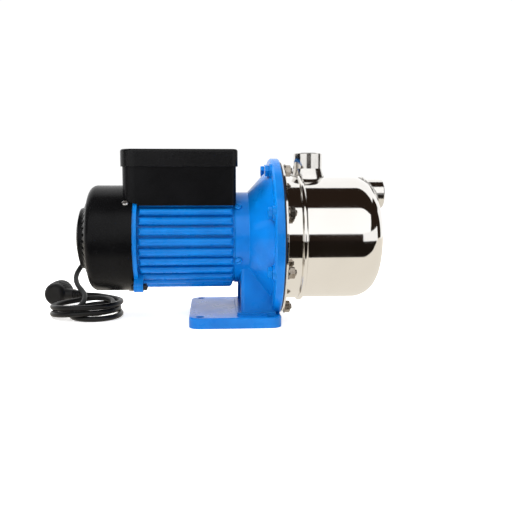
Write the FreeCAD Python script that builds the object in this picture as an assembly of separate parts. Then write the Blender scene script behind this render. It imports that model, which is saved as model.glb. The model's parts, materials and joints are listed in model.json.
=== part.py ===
import FreeCAD, Part
import math
import os

V = FreeCAD.Vector
along_x = V(1, 0, 0)
along_y = V(0, 1, 0)
upward = V(0, 0, 1)

# Self-priming jet pump. X runs along the shaft from the fan to the suction port, Z is up.
# The origin is the centre of the foot's bolt pattern, on the underside of the foot.

# Shaft line
shaft_height = 104.0
fit_gap = 0.05
seat_gap = 0.2
running_gap = 0.5

# Motor housing: a ribbed tube between the rear shield and the bracket
housing_length = 118.0
housing_bore = 50.0
housing_root = 56.0
rib_height = 7.5
rib_count = 30
rib_width = 8.8
rib_crown = 3.2
rib_end_land = 1.8
spigot_length = 8.0
spigot_radius = 53.0
pad_length = 92.0
pad_width = 56.0
pad_height = 2.5
pad_front_room = 12.0
pad_screw_inset_x = 9.0
pad_screw_inset_y = 7.0

# Rear shield, its two lower ears and its bearing housing
shield_rim = 66.0
shield_rim_length = 5.0
shield_wall = 6.0
cowl_spigot_length = 16.0
cowl_spigot_wall = 3.5
ear_angle = 50.0
ear_reach = 73.5
ear_radius = 6.5
ear_bolt_radius = 2.5
lug_length = 6.0
ear_nut_height = 4.5
shield_screw_reach = 53.5
shield_screw_radius = 2.0
shield_screw_angle = 40.0

# Fan cover: a barrel closed by a stepped dome with a grille
cowl_radius = 67.0
cowl_wall = 2.0
cowl_barrel_length = 47.5
cowl_corner = 10.0
cowl_shoulder_radius = 38.0
cowl_shoulder_drop = 7.0
cowl_shoulder_flare = 1.5
cowl_step = 4.5
cowl_crown_height = 6.5
slot_count = 40
slot_width = 3.2
slot_inner = 41.5
slot_outer = 56.0
crown_slot_rings = (11.0, 19.0, 27.0)
crown_slot_width = 4.0
crown_spokes = 6
crown_spoke_width = 4.0
cowl_screw_radius = 2.0
cowl_screw_offset = 8.5
cowl_screw_box_room = 3.9

# Cooling fan
fan_radius = 57.0
fan_disc = 2.5
fan_blade_length = 16.0
fan_blade_thickness = 2.2
fan_blade_count = 9
fan_hub_radius = 11.0
fan_hub_length = 18.0
fan_to_cover = 6.0
fan_shaft_overrun = 6.0

# Shaft and rotor
rear_journal = 7.5
front_journal = 8.5
rotor_seat = 10.0
fan_journal = 7.0
seal_journal = 8.0
rotor_radius = 31.0
rotor_length = 70.0
air_gap = 0.5
rotor_to_bearing = 22.0
end_ring_length = 7.0
end_ring_inner = 20.0

# Stator
stator_overhang = 2.0
slot_teeth = 24
tooth_slot_width = 4.0
tooth_slot_depth = 11.0
winding_inner = 34.0
winding_outer = 46.5
winding_reach = 15.0

# Ball bearings
rear_bearing_radius = 17.5
rear_bearing_width = 11.0
front_bearing_radius = 20.0
front_bearing_width = 12.0
ball_count = 8
race_wall_share = 0.28
spring_height = 1.5
circlip_thickness = 1.2

# Terminal box, its lid and what is inside
box_length = 136.0
box_width = 100.0
box_rim_height = 90.0
box_skirt_height = 43.0
box_wall = 2.5
box_rear_corner = 16.0
box_front_corner = 6.0
box_over_rib = 0.8
box_front_reach = 2.0
box_web = 2.4
lid_column_depth = 22.0
box_column_radius = 5.0
box_column_height = 5.0
lid_height = 21.0
lid_overhang = 2.2
lid_corner_edge = 3.0
gasket_thickness = 1.0
gasket_width = 2.0
lid_screw_radius = 2.0
lid_boss_radius = 4.5
lid_screw_inset = 9.0
lid_screw_recess = 3.0
lid_screw_grip = 15.0
capacitor_radius = 17.0
capacitor_length = 56.0
capacitor_front_room = 30.0
capacitor_side_room = 3.0
clip_band = 1.5
clip_width = 16.0
block_length = 34.0
block_width = 18.0
block_height = 14.0
block_rear_x = -78.0
block_side_room = 14.5
block_poles = 3

# Cable gland and cord
gland_from_front = 104.0
gland_height = 68.0
gland_thread_radius = 8.0
gland_hex_radius = 12.0
gland_flange = 4.0
gland_body_length = 8.0
cord_radius = 3.5

# Motor bracket: collar, cone, flange, leg and foot in one casting
collar_radius = 58.0
collar_length = 18.0
bracket_wall = 7.0
boss_wall = 6.0
flange_back = 45.5
flange_thickness = 11.5
flange_radius = 101.0
flange_rim_round = 2.0
bolt_circle = 92.0
flange_bolt_count = 8
flange_bolt_radius = 4.0
bolt_boss_radius = 9.0
bolt_boss_height = 2.5
cone_top_radius = 88.0
cone_wall = 8.0
leg_rear = 7.4
leg_wall = 8.0
leg_top_width = 92.0
leg_bottom_width = 108.0
leg_top_drop = 32.0
foot_length = 113.0
foot_width = 150.0
foot_thickness = 13.0
foot_corner = 14.0
foot_hole_radius = 5.0
foot_hole_spacing_x = 86.0
foot_hole_spacing_y = 130.0

# Wet end
cover_thickness = 2.0
cover_radius = 88.0
cover_hub_radius = 19.0
cover_hub_length = 9.0
gasket_joint = 2.0
body_wall = 2.0
body_flange_radius = 97.0
body_flange_thickness = 2.5
neck_radius = 79.0
neck_length = 22.0
bead_radius = 82.0
bead_width = 6.5
barrel_radius = 78.0
barrel_end = 152.0
knuckle_radius = 32.0
crown_radius = 193.0
port_radius = 18.5
port_bore = 15.15
port_thread_depth = 19.0
port_inner_bore = 13.5
discharge_x = 96.0
discharge_top = 108.0
suction_rise = 56.0
suction_end = 193.5
weld_width = 3.0

# Impeller, diffuser and ejector
impeller_radius = 60.0
impeller_width = 8.0
impeller_shroud = 2.0
impeller_blades = 6
impeller_blade_thickness = 2.0
impeller_eye = 18.0
impeller_neck = 4.0
impeller_hub_radius = 14.0
diffuser_radius = 72.0
diffuser_wall = 2.5
diffuser_depth = 38.0
diffuser_vanes = 6
ejector_radius = 26.0
ejector_wall = 2.5
venturi_throat = 6.5
venturi_mouth = 11.0
venturi_exit = 13.0
venturi_length = 48.0
nozzle_tip = 4.0
nozzle_base = 10.0
nozzle_length = 22.0

# Screws and bolts: head sizes as shares of the shank's radius, and the joints' screws
hex_share = 1.85
hex_head_share = 1.3
pan_share = 1.9
pan_height_share = 1.2
box_screw_radius = 2.0
box_screw_depth = 6.0
bracket_screw_radius = 2.5
bracket_screw_angles = (45, 135, 205, 335)
washer_thickness = 1.6
nut_height = 6.5
bolt_head_room = 12.0

# Terminal box fittings
clip_base = 2.0
gland_nut_height = 3.0
dome_length = 6.0
relief_length = 28.0

# Cord and plug
cord_run_share = 0.45
coil_x = -193.0
coil_y = 19.0
coil_inner = 28.0
coil_outer = 51.0
coil_height = 25.0
coil_edge = 8.0
plug_radius = 17.5
plug_height = 30.0
plug_exit_depth = 13.0
plug_sleeve_length = 24.0
pin_radius = 2.4
pin_length = 19.0
pin_root = 6.0
pin_spacing = 19.0

# Leg and foot details
leg_front = 50.0
leg_edge_round = 5.0
leg_step = 3.0
leg_step_margin = 5.0
foot_edge_round = 2.0
weep_radius = 3.0
shaft_hole_radius = 12.0

# Seal, spring, key and nut
slinger_radius = 16.0
slinger_length = 6.0
slinger_disc = 3.0
seal_face_gap = 0.1
seal_head_length = 6.0
seal_space = 12.0
spring_wire = 0.8
spring_coil_radius = 11.0
spring_turns = 2.5
spring_sides = 6
key_width = 4.0
key_length = 10.0
key_sink = 2.0
nut_thread_radius = 5.0
impeller_nut_height = 6.0

# Ejector and port details
branch_radius = 16.5
branch_shoulder_x = 158.0
branch_tip_x = 173.0
venturi_flange = 3.0
venturi_seat_radius = 20.0
port_reach = 20.0
port_sink = 4.0
suction_inner_x = 167.0
o_ring_width = 2.0
o_ring_depth = 1.4

# Places along the shaft, measured from the front end of the motor housing
housing_rear = -housing_length
cowl_rim_x = housing_rear - shield_rim_length
cowl_barrel_x = cowl_rim_x - cowl_barrel_length
cowl_shoulder_x = cowl_barrel_x - cowl_corner - cowl_shoulder_drop
cowl_end_x = cowl_shoulder_x - cowl_step - cowl_crown_height
fan_tip_x = cowl_barrel_x + fan_to_cover
fan_disc_x = fan_tip_x + fan_blade_length
fan_front_x = fan_disc_x + fan_disc
shaft_rear_x = fan_front_x - fan_hub_length - fan_shaft_overrun
rear_bearing_x = housing_rear - shield_wall / 2 - rear_bearing_width
spring_x = rear_bearing_x - spring_height
shield_hub_x = spring_x - 4.0
front_bearing_x = spigot_length - front_bearing_width
front_boss_x = front_bearing_x - 3.0
rotor_front_x = front_bearing_x - rotor_to_bearing
rotor_rear_x = rotor_front_x - rotor_length
core_front_x = rotor_front_x + stator_overhang
core_rear_x = rotor_rear_x - stator_overhang
flange_face = flange_back + flange_thickness
cover_face = flange_face - cover_thickness
body_face = flange_face + gasket_joint
bolt_seat_x = body_face + body_flange_thickness
seal_face_x = cover_face - seal_face_gap
impeller_key_x = flange_face + seal_space
impeller_front_shroud_x = impeller_key_x + key_length + impeller_width
impeller_front_x = impeller_front_shroud_x
shaft_front_x = impeller_front_x + impeller_nut_height + 2.0
cowl_screw_x = cowl_rim_x - cowl_screw_offset
box_corner_run = box_rear_corner - (box_length + cowl_screw_x)
box_side_at_screws = box_width / 2 - box_rear_corner + math.sqrt(box_rear_corner ** 2 - box_corner_run ** 2)
cowl_screw_lift = math.degrees(math.acos((box_side_at_screws + cowl_screw_box_room) / cowl_radius))
cowl_screw_angles = (cowl_screw_lift, 180 - cowl_screw_lift, 270)
bracket_screw_x = 0.56 * spigot_length
rib_tip = housing_root + rib_height
pad_top = rib_tip + pad_height


def on_shaft(x, radius=0.0, angle=0.0):
    """A point at a distance from the shaft line; the angle is measured from +Y towards +Z."""
    turn = math.radians(angle)
    return V(x, radius * math.cos(turn), shaft_height + radius * math.sin(turn))


def outline(steps):
    """A closed flat face from points, where four numbers give an arc by its middle and end."""
    points = [V(steps[0][0], 0, steps[0][1])]
    edges = []
    for step in steps[1:] + [steps[0]]:
        end = V(step[-2], 0, step[-1])
        if len(step) == 4:
            edges.append(Part.Arc(points[-1], V(step[0], 0, step[1]), end).toShape())
        else:
            edges.append(Part.makeLine(points[-1], end))
        points.append(end)
    return Part.Face(Part.Wire(edges))


def placed(shape, origin, direction):
    """The shape moved so that its local X axis starts at the origin and points in the direction."""
    moved = shape.copy()
    turn = FreeCAD.Rotation(along_x, direction)
    moved.Placement = FreeCAD.Placement(origin, turn).multiply(moved.Placement)
    return moved


def turned(steps, origin=None, direction=along_x):
    """A solid of revolution from (distance, radius) steps, about the shaft line by default."""
    solid = outline(steps).revolve(V(0, 0, 0), along_x, 360)
    return placed(solid, origin or on_shaft(0), direction)


def ring(start, end, inner, outer, origin=None, direction=along_x):
    """A plain ring between two distances along its axis."""
    steps = [(start, inner), (end, inner), (end, outer), (start, outer)]
    return turned(steps, origin, direction)


def rod(origin, direction, radius, length):
    """A cylinder that starts at a point and runs in a direction."""
    return Part.makeCylinder(radius, length, origin, direction)


def shaft_rod(start, end, radius):
    """A cylinder on the shaft line between two distances."""
    return rod(on_shaft(start), along_x, radius, end - start)


def block(x_range, y_range, z_range):
    """A box between three pairs of coordinates."""
    low = V(x_range[0], y_range[0], z_range[0])
    return Part.makeBox(x_range[1] - x_range[0], y_range[1] - y_range[0], z_range[1] - z_range[0], low)


def rounded_plate(x_range, y_range, z_range, rear_corner, front_corner):
    """A plate with upright corners rounded by one radius at the rear and one at the front."""
    plate = block(x_range, y_range, z_range)
    for x, radius in ((x_range[0], rear_corner), (x_range[1], front_corner)):
        upright = [e for e in plate.Edges if is_upright_at(e, x)]
        plate = plate.makeFillet(radius, upright)
    return plate


def is_upright_at(edge, x):
    """True for a straight vertical edge that stands at the given X."""
    if len(edge.Vertexes) != 2:
        return False
    first, last = edge.Vertexes[0].Point, edge.Vertexes[1].Point
    vertical = abs(first.x - last.x) < 0.01 and abs(first.y - last.y) < 0.01
    return vertical and abs(first.x - x) < 0.01


def hexagon(origin, direction, across_radius, length):
    """A hexagonal prism given by its corner radius."""
    corners = []
    for side in range(7):
        turn = math.radians(60 * side)
        corners.append(V(0, across_radius * math.cos(turn), across_radius * math.sin(turn)))
    prism = Part.Face(Part.makePolygon(corners)).extrude(along_x * length)
    return placed(prism, origin, direction)


def hex_bolt(seat, direction, shank_radius, length):
    """A hexagon bolt whose head sits behind the seat and whose shank runs forward from it."""
    head_height = hex_head_share * shank_radius
    head = hexagon(seat - direction * head_height, direction, hex_share * shank_radius, head_height)
    return head.fuse(rod(seat, direction, shank_radius, length))


def pan_screw(seat, direction, shank_radius, length):
    """A pan head screw with a cross-slot recess in its head."""
    head_radius = pan_share * shank_radius
    head_height = pan_height_share * shank_radius
    head = turned([(0, 0), (0, head_radius), (-0.6 * head_height, head_radius),
                   (-head_height, 0.7 * head_radius),
                   (-head_height, 0)], seat, direction)
    recess = placed(block((-head_height, -0.5 * head_height), (-0.6 * head_radius, 0.6 * head_radius),
                          (-0.4, 0.4)), seat, direction)
    return head.fuse(rod(seat, direction, shank_radius, length)).cut(recess)


def group(solids):
    """Separate solids kept together in one sub-part."""
    return Part.makeCompound(solids)


def around(count, start=0.0, span=360.0):
    """Evenly spaced angles."""
    return [start + span * index / count for index in range(count)]


def single(shape):
    """The shape with faces merged that lie on one surface."""
    return shape.removeSplitter()


# Motor housing and rear shield

def rib_section():
    """The housing's outer section in the plane across the shaft, ribs included."""
    half = rib_width / 2
    root_angle = math.degrees(math.asin(half / housing_root))
    pitch = 360.0 / rib_count
    edges = []

    def at(radial, across, angle):
        turn = math.radians(angle)
        return V(0, radial * math.cos(turn) - across * math.sin(turn),
                 radial * math.sin(turn) + across * math.cos(turn))

    def on_root(angle):
        return at(housing_root, 0, angle)

    for index in range(rib_count):
        angle = index * pitch
        shoulder = rib_tip - rib_crown
        low_start, high_start = on_root(angle - root_angle), at(shoulder, -half, angle)
        high_end, low_end = at(shoulder, half, angle), on_root(angle + root_angle)
        next_start = on_root(angle + pitch - root_angle)
        edges.append(Part.makeLine(low_start, high_start))
        edges.append(Part.Arc(high_start, at(rib_tip, 0, angle), high_end).toShape())
        edges.append(Part.makeLine(high_end, low_end))
        edges.append(Part.Arc(low_end, on_root(angle + pitch / 2), next_start).toShape())
    return Part.Face(Part.Wire(edges))


def ear_points():
    """The two lower ears, as angles about the shaft."""
    return (-ear_angle, ear_angle - 180)


def shield_screw_angles():
    """The two upper shield screws, as angles about the shaft."""
    return (shield_screw_angle, 180 - shield_screw_angle)


def lug(start, end, angle):
    """A round ear that reaches inwards to the housing wall."""
    head = rod(on_shaft(start, ear_reach, angle), along_x, ear_radius, end - start)
    neck = block((start, end), (housing_root - 1, ear_reach), (-ear_radius, ear_radius))
    neck.rotate(V(0, 0, 0), along_x, angle)
    neck.translate(V(0, 0, shaft_height))
    return head.fuse(neck)


def motor_housing():
    rib_start, rib_end = housing_rear + rib_end_land, -rib_end_land
    ribs = rib_section().extrude(along_x * (rib_end - rib_start))
    ribs.translate(V(rib_start, 0, shaft_height))
    round_off = 0.7 * rib_height
    near = round_off * (1 - math.sqrt(0.5))
    envelope = turned([(rib_start, 0), (rib_start, rib_tip - round_off),
                       (rib_start + near, rib_tip - near, rib_start + round_off, rib_tip),
                       (rib_end - round_off, rib_tip),
                       (rib_end - near, rib_tip - near, rib_end, rib_tip - round_off),
                       (rib_end, 0)])
    shell = ribs.common(envelope)
    shell = shell.fuse(shaft_rod(housing_rear, 0, housing_root + 1))
    shell = shell.fuse(shaft_rod(0, spigot_length, spigot_radius))
    pad_front = -pad_front_room
    pad = block((pad_front - pad_length, pad_front), (-pad_width / 2, pad_width / 2),
                (shaft_height + housing_bore + 2, shaft_height + pad_top))
    shell = shell.fuse(pad)
    for angle in ear_points():
        shell = shell.fuse(lug(housing_rear, housing_rear + lug_length, angle))
    shell = shell.cut(shaft_rod(housing_rear - 1, spigot_length + 1, housing_bore))
    for angle in ear_points():
        hole = on_shaft(housing_rear - 1, ear_reach, angle)
        shell = shell.cut(rod(hole, along_x, ear_bolt_radius, lug_length + 2))
    for angle in shield_screw_angles():
        hole = on_shaft(housing_rear - 1, shield_screw_reach, angle)
        shell = shell.cut(rod(hole, along_x, shield_screw_radius, lug_length))
    for x, y in box_screw_places():
        hole = V(x, y, shaft_height + pad_top - box_screw_depth)
        shell = shell.cut(rod(hole, upward, box_screw_radius, box_screw_depth + 1))
    for angle in bracket_screw_angles:
        hole = on_shaft(bracket_screw_x, housing_bore - 1, angle)
        shell = shell.cut(rod(hole, radial(angle), bracket_screw_radius, 6))
    return single(shell)


def radial(angle):
    """The direction away from the shaft at an angle."""
    turn = math.radians(angle)
    return V(0, math.cos(turn), math.sin(turn))


def rear_end_shield():
    hub = rear_bearing_radius + boss_wall
    wall_x = housing_rear - shield_wall
    spigot_out = cowl_radius - cowl_wall - fit_gap
    spigot_in = spigot_out - cowl_spigot_wall
    spigot_x = cowl_rim_x - cowl_spigot_length
    shield = turned([(shield_hub_x, fan_journal + 1.5), (spring_x, fan_journal + 1.5),
                     (spring_x, rear_bearing_radius), (housing_rear, rear_bearing_radius),
                     (housing_rear, shield_rim), (cowl_rim_x, shield_rim), (cowl_rim_x, spigot_out),
                     (spigot_x, spigot_out), (spigot_x, spigot_in), (wall_x, spigot_in - 1.5),
                     (wall_x, hub + 2), (shield_hub_x, hub - 1)])
    for angle in ear_points():
        ear = lug(cowl_rim_x, housing_rear, angle)
        shield = shield.fuse(ear.cut(shaft_rod(cowl_rim_x - 1, 0, shield_rim - 1)))
        hole = on_shaft(cowl_rim_x - 1, ear_reach, angle)
        shield = shield.cut(rod(hole, along_x, ear_bolt_radius, shield_rim_length + 2))
    for angle in shield_screw_angles():
        hole = on_shaft(wall_x - 1, shield_screw_reach, angle)
        shield = shield.cut(rod(hole, along_x, shield_screw_radius, shield_wall + 2))
    for angle in cowl_screw_angles:
        hole = on_shaft(cowl_screw_x, spigot_in - 1, angle)
        shield = shield.cut(rod(hole, radial(angle), cowl_screw_radius, 8))
    return single(shield)


def ear_bolts():
    """The tie bolts through the ears, each with its nut in front of the housing's lug."""
    pieces = []
    grip = shield_rim_length + lug_length
    for angle in ear_points():
        seat = on_shaft(cowl_rim_x, ear_reach, angle)
        nut = hexagon(seat + along_x * grip, along_x, hex_share * ear_bolt_radius, ear_nut_height)
        pieces.append(hex_bolt(seat, along_x, ear_bolt_radius, grip + ear_nut_height + 1))
        pieces.append(nut.cut(rod(seat, along_x, ear_bolt_radius, grip + ear_nut_height + 1)))
    return group(pieces)


def shield_screws():
    return group([pan_screw(on_shaft(housing_rear - shield_wall, shield_screw_reach, angle), along_x,
                            shield_screw_radius, shield_wall + lug_length - 1.5)
                  for angle in shield_screw_angles()])


# Fan cover and fan

def cowl_skin(inset):
    """The solid inside the cover's outer surface, moved inwards by the inset."""
    barrel = cowl_radius - inset
    corner = cowl_corner - inset
    diagonal = corner * (1 - math.sqrt(0.5))
    shoulder = cowl_shoulder_radius - inset
    corner_x = cowl_barrel_x - corner
    mid_shoulder = 0.55 * shoulder
    sag = cowl_crown_height * (1 - (mid_shoulder / shoulder) ** 2)
    step_x = cowl_shoulder_x - cowl_step + inset
    return turned([(cowl_rim_x, 0), (cowl_rim_x, barrel), (cowl_barrel_x, barrel),
                   (corner_x + diagonal, barrel - diagonal, corner_x, barrel - corner),
                   (cowl_shoulder_x + inset, shoulder + cowl_shoulder_flare), (step_x, shoulder),
                   (step_x - sag, mid_shoulder, cowl_end_x + inset, 0)])


def fan_cover():
    cover = cowl_skin(0).cut(cowl_skin(cowl_wall))
    reach = cowl_barrel_x - cowl_end_x + 2
    slots = []
    for angle in around(slot_count):
        slot = block((cowl_end_x - 1, cowl_end_x + reach), (slot_inner, slot_outer),
                     (-slot_width / 2, slot_width / 2))
        slot.rotate(V(0, 0, 0), along_x, angle)
        slot.translate(V(0, 0, shaft_height))
        slots.append(slot)
    spokes = []
    for angle in around(crown_spokes, 90):
        spoke = block((cowl_end_x - 2, cowl_end_x + reach + 1), (0, slot_inner),
                      (-crown_spoke_width / 2, crown_spoke_width / 2))
        spoke.rotate(V(0, 0, 0), along_x, angle)
        spoke.translate(V(0, 0, shaft_height))
        spokes.append(spoke)
    for radius in crown_slot_rings:
        opening = ring(cowl_end_x - 1, cowl_end_x + reach, radius, radius + crown_slot_width)
        slots.append(opening.cut(group(spokes)))
    cover = cover.cut(group(slots))
    for angle in cowl_screw_angles:
        hole = on_shaft(cowl_screw_x, cowl_radius - cowl_wall - 1, angle)
        cover = cover.cut(rod(hole, radial(angle), cowl_screw_radius, cowl_wall + 2))
    return single(cover)


def fan_cover_screws():
    return group([pan_screw(on_shaft(cowl_screw_x, cowl_radius, angle), radial(angle) * -1,
                            cowl_screw_radius, cowl_wall + 4) for angle in cowl_screw_angles])


def cooling_fan():
    hub = shaft_rod(fan_front_x - fan_hub_length, fan_front_x, fan_hub_radius)
    disc = turned([(fan_disc_x, 0), (fan_front_x, 0), (fan_front_x, 0.93 * fan_radius),
                   (fan_disc_x, fan_radius)])
    fan = hub.fuse(disc)
    for angle in around(fan_blade_count):
        blade = outline([(fan_disc_x + 0.5, fan_hub_radius - 1), (fan_disc_x + 0.5, fan_radius - 1),
                         (fan_tip_x + 5, fan_radius - 1), (fan_tip_x, fan_radius - 7),
                         (fan_tip_x, 0.55 * fan_radius), (fan_tip_x + 9, fan_hub_radius - 1)])
        blade = blade.extrude(along_y * fan_blade_thickness)
        blade.translate(V(0, -fan_blade_thickness / 2, 0))
        blade.rotate(V(0, 0, 0), along_x, angle)
        blade.translate(V(0, 0, shaft_height))
        fan = fan.fuse(blade)
    return single(fan.cut(shaft_rod(fan_tip_x - 30, fan_front_x + 1, fan_journal + fit_gap)))


def fan_clip():
    clip_x = fan_front_x - fan_hub_length - circlip_thickness
    clip = ring(clip_x, clip_x + circlip_thickness, fan_journal - 0.8, fan_journal + 3)
    opening = block((clip_x - 1, clip_x + 3), (-3, 3), (shaft_height + 2, shaft_height + 20))
    return clip.cut(opening)


# Shaft, rotor, stator and bearings

def motor_shaft():
    groove = fan_front_x - fan_hub_length
    shaft = turned([(shaft_rear_x, 0), (shaft_rear_x, fan_journal - 0.8), (shaft_rear_x + 0.8, fan_journal),
                    (groove - circlip_thickness - 0.05, fan_journal),
                    (groove - circlip_thickness - 0.05, fan_journal - 0.8),
                    (groove, fan_journal - 0.8), (groove, fan_journal),
                    (rear_bearing_x, fan_journal), (rear_bearing_x, rear_journal),
                    (rear_bearing_x + rear_bearing_width, rear_journal),
                    (rear_bearing_x + rear_bearing_width, rotor_seat), (front_bearing_x, rotor_seat),
                    (front_bearing_x, front_journal), (spigot_length, front_journal),
                    (spigot_length, seal_journal), (impeller_front_x, seal_journal),
                    (impeller_front_x, nut_thread_radius), (shaft_front_x, nut_thread_radius),
                    (shaft_front_x, 0)])
    return single(shaft.cut(key_space()))


def key_space():
    """The keyway for the impeller key."""
    return block((impeller_key_x, impeller_key_x + key_length), (-key_width / 2, key_width / 2),
                 (shaft_height + seal_journal - key_sink, shaft_height + seal_journal + key_sink))


def rotor_core():
    core = ring(rotor_rear_x, rotor_front_x, rotor_seat, rotor_radius)
    for end, way in ((rotor_rear_x, -1), (rotor_front_x, 1)):
        first, last = sorted((end, end + way * end_ring_length))
        core = core.fuse(ring(first, last, end_ring_inner, rotor_radius - 2))
    return single(core)


def stator_core():
    core = ring(core_rear_x, core_front_x, rotor_radius + air_gap, housing_bore)
    slots = []
    for angle in around(slot_teeth):
        slot = block((core_rear_x - 1, core_front_x + 1), (winding_inner, winding_inner + tooth_slot_depth),
                     (-tooth_slot_width / 2, tooth_slot_width / 2))
        slot.rotate(V(0, 0, 0), along_x, angle)
        slot.translate(V(0, 0, shaft_height))
        slots.append(slot)
    return core.cut(group(slots))


def stator_windings():
    coils = []
    for face, way in ((core_rear_x, -1), (core_front_x, 1)):
        far = face + way * winding_reach
        near_round = far - way * 4
        coils.append(turned([(face, winding_inner), (face, winding_outer), (near_round, winding_outer),
                             (far - way * 1.2, winding_outer - 1.2, far, winding_outer - 4),
                             (far, winding_inner + 4),
                             (far - way * 1.2, winding_inner + 1.2, near_round, winding_inner)]))
    return group(coils)


def race_depth(bore, outer):
    return race_wall_share * (outer - bore)


def ball_radius(bore, outer):
    return 0.29 * (outer - bore)


def groove_at(middle, bore, outer):
    """The ball track's torus, with the balls' running room."""
    tube = ball_radius(bore, outer) + 0.3
    return Part.makeTorus((bore + outer) / 2, tube, on_shaft(middle), along_x)


def outer_race(start, width, bore, outer):
    race = ring(start, start + width, outer - race_depth(bore, outer), outer)
    return race.cut(groove_at(start + width / 2, bore, outer))


def inner_race(start, width, bore, outer):
    race = ring(start, start + width, bore, bore + race_depth(bore, outer))
    return race.cut(groove_at(start + width / 2, bore, outer))


def ball_set(start, width, bore, outer):
    """The balls, each held in one cage."""
    middle, pitch = start + width / 2, (bore + outer) / 2
    radius = ball_radius(bore, outer)
    cage = ring(middle - 0.75 * radius, middle + 0.75 * radius, pitch - 0.8, pitch + 0.8)
    balls = [Part.makeSphere(radius, on_shaft(middle, pitch, angle)) for angle in around(ball_count)]
    for ball in balls:
        cage = cage.fuse(ball)
    return single(cage)


def rear_bearing_outer_race():
    return outer_race(rear_bearing_x, rear_bearing_width, rear_journal, rear_bearing_radius)


def rear_bearing_inner_race():
    return inner_race(rear_bearing_x, rear_bearing_width, rear_journal, rear_bearing_radius)


def rear_bearing_balls():
    return ball_set(rear_bearing_x, rear_bearing_width, rear_journal, rear_bearing_radius)


def front_bearing_outer_race():
    return outer_race(front_bearing_x, front_bearing_width, front_journal, front_bearing_radius)


def front_bearing_inner_race():
    return inner_race(front_bearing_x, front_bearing_width, front_journal, front_bearing_radius)


def front_bearing_balls():
    return ball_set(front_bearing_x, front_bearing_width, front_journal, front_bearing_radius)


def wave_spring():
    """A sprung washer between the shield's shoulder and the rear bearing."""
    inner, outer = rear_bearing_radius - 3.5, rear_bearing_radius - seat_gap
    return ring(spring_x, spring_x + spring_height, inner, outer)


def bearing_circlip():
    clip = ring(front_bearing_x - circlip_thickness, front_bearing_x, front_bearing_radius - 2.5,
                front_bearing_radius + 1)
    opening = block((front_bearing_x - 3, front_bearing_x + 1), (-4, 4),
                    (shaft_height - front_bearing_radius - 4, shaft_height - 10))
    return clip.cut(opening)


# Terminal box

def box_floor_z():
    return shaft_height + pad_top


def box_outer(inset, low, high):
    return rounded_plate((-box_length + inset, box_front_reach - inset),
                         (-box_width / 2 + inset, box_width / 2 - inset),
                         (low, high), box_rear_corner - inset, box_front_corner - inset)


def saddle(offset):
    """What the box clears below it: the ribs, and behind them the fan cover."""
    over_ribs = shaft_rod(cowl_rim_x, box_front_reach + 5, rib_tip + box_over_rib + offset)
    over_cowl = shaft_rod(-box_length - 5, housing_rear + 0.5 + offset, cowl_radius + box_over_rib + offset)
    return over_ribs.fuse(over_cowl)


def lid_screw_places():
    x_rear, x_front = -box_length + lid_screw_inset + 2, box_front_reach - lid_screw_inset
    y_side = box_width / 2 - lid_screw_inset
    return [(x, y) for x in (x_rear, x_front) for y in (-y_side, y_side)]


def box_screw_places():
    middle = -pad_front_room - pad_length / 2
    half_x, half_y = pad_length / 2 - pad_screw_inset_x, pad_width / 2 - pad_screw_inset_y
    return [(middle + side_x * half_x, side_y * half_y) for side_x in (-1, 1) for side_y in (-1, 1)]


def terminal_box():
    low, high = shaft_height + box_skirt_height, shaft_height + box_rim_height
    pad_front = -pad_front_room
    seat = block((pad_front - pad_length - seat_gap, pad_front + seat_gap),
                 (-pad_width / 2 - seat_gap, pad_width / 2 + seat_gap), (low - 1, box_floor_z()))
    floor = block((pad_front - pad_length - box_wall, pad_front + box_wall),
                  (-pad_width / 2 - box_wall, pad_width / 2 + box_wall), (low - 1, box_floor_z() + box_wall))
    hollow = box_outer(box_wall, low - 1, high + 1).cut(saddle(box_wall)).cut(floor)
    box = box_outer(0, low, high).cut(saddle(0)).cut(seat).cut(hollow)
    for x, y in lid_screw_places():
        foot = high - lid_column_depth
        column = rod(V(x, y, foot), upward, lid_boss_radius, high - foot)
        side = math.copysign(box_width / 2, y)
        web = block((x - box_web / 2, x + box_web / 2), sorted((y, side)), (foot, high))
        box = box.fuse(column.fuse(web).common(box_outer(box_wall / 2, low, high)))
        box = box.cut(rod(V(x, y, foot + 4), upward, lid_screw_radius, lid_column_depth))
    for x, y in box_screw_places():
        box = box.fuse(rod(V(x, y, box_floor_z()), upward, box_column_radius, box_column_height))
        box = box.cut(rod(V(x, y, box_floor_z() - 1), upward, box_screw_radius, 8))
    hole = V(-gland_from_front, box_width / 2 - box_wall - 1, shaft_height + gland_height)
    box = box.cut(rod(hole, along_y, gland_thread_radius, box_wall + 2))
    return single(box)


def box_screws():
    seat = box_floor_z() + box_column_height
    reach = box_column_height + box_screw_depth - 1
    return group([pan_screw(V(x, y, seat), upward * -1, box_screw_radius, reach)
                  for x, y in box_screw_places()])


def lid_gasket():
    rim = shaft_height + box_rim_height
    outer = box_outer(0, rim, rim + gasket_thickness)
    inner = box_outer(gasket_width, rim - 1, rim + gasket_thickness + 1)
    return outer.cut(inner)


def lid_outer(inset, low, high):
    out = lid_overhang - inset
    return rounded_plate((-box_length - out, box_front_reach + out),
                         (-box_width / 2 - out, box_width / 2 + out), (low, high),
                         box_rear_corner + out, box_front_corner + out)


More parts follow.
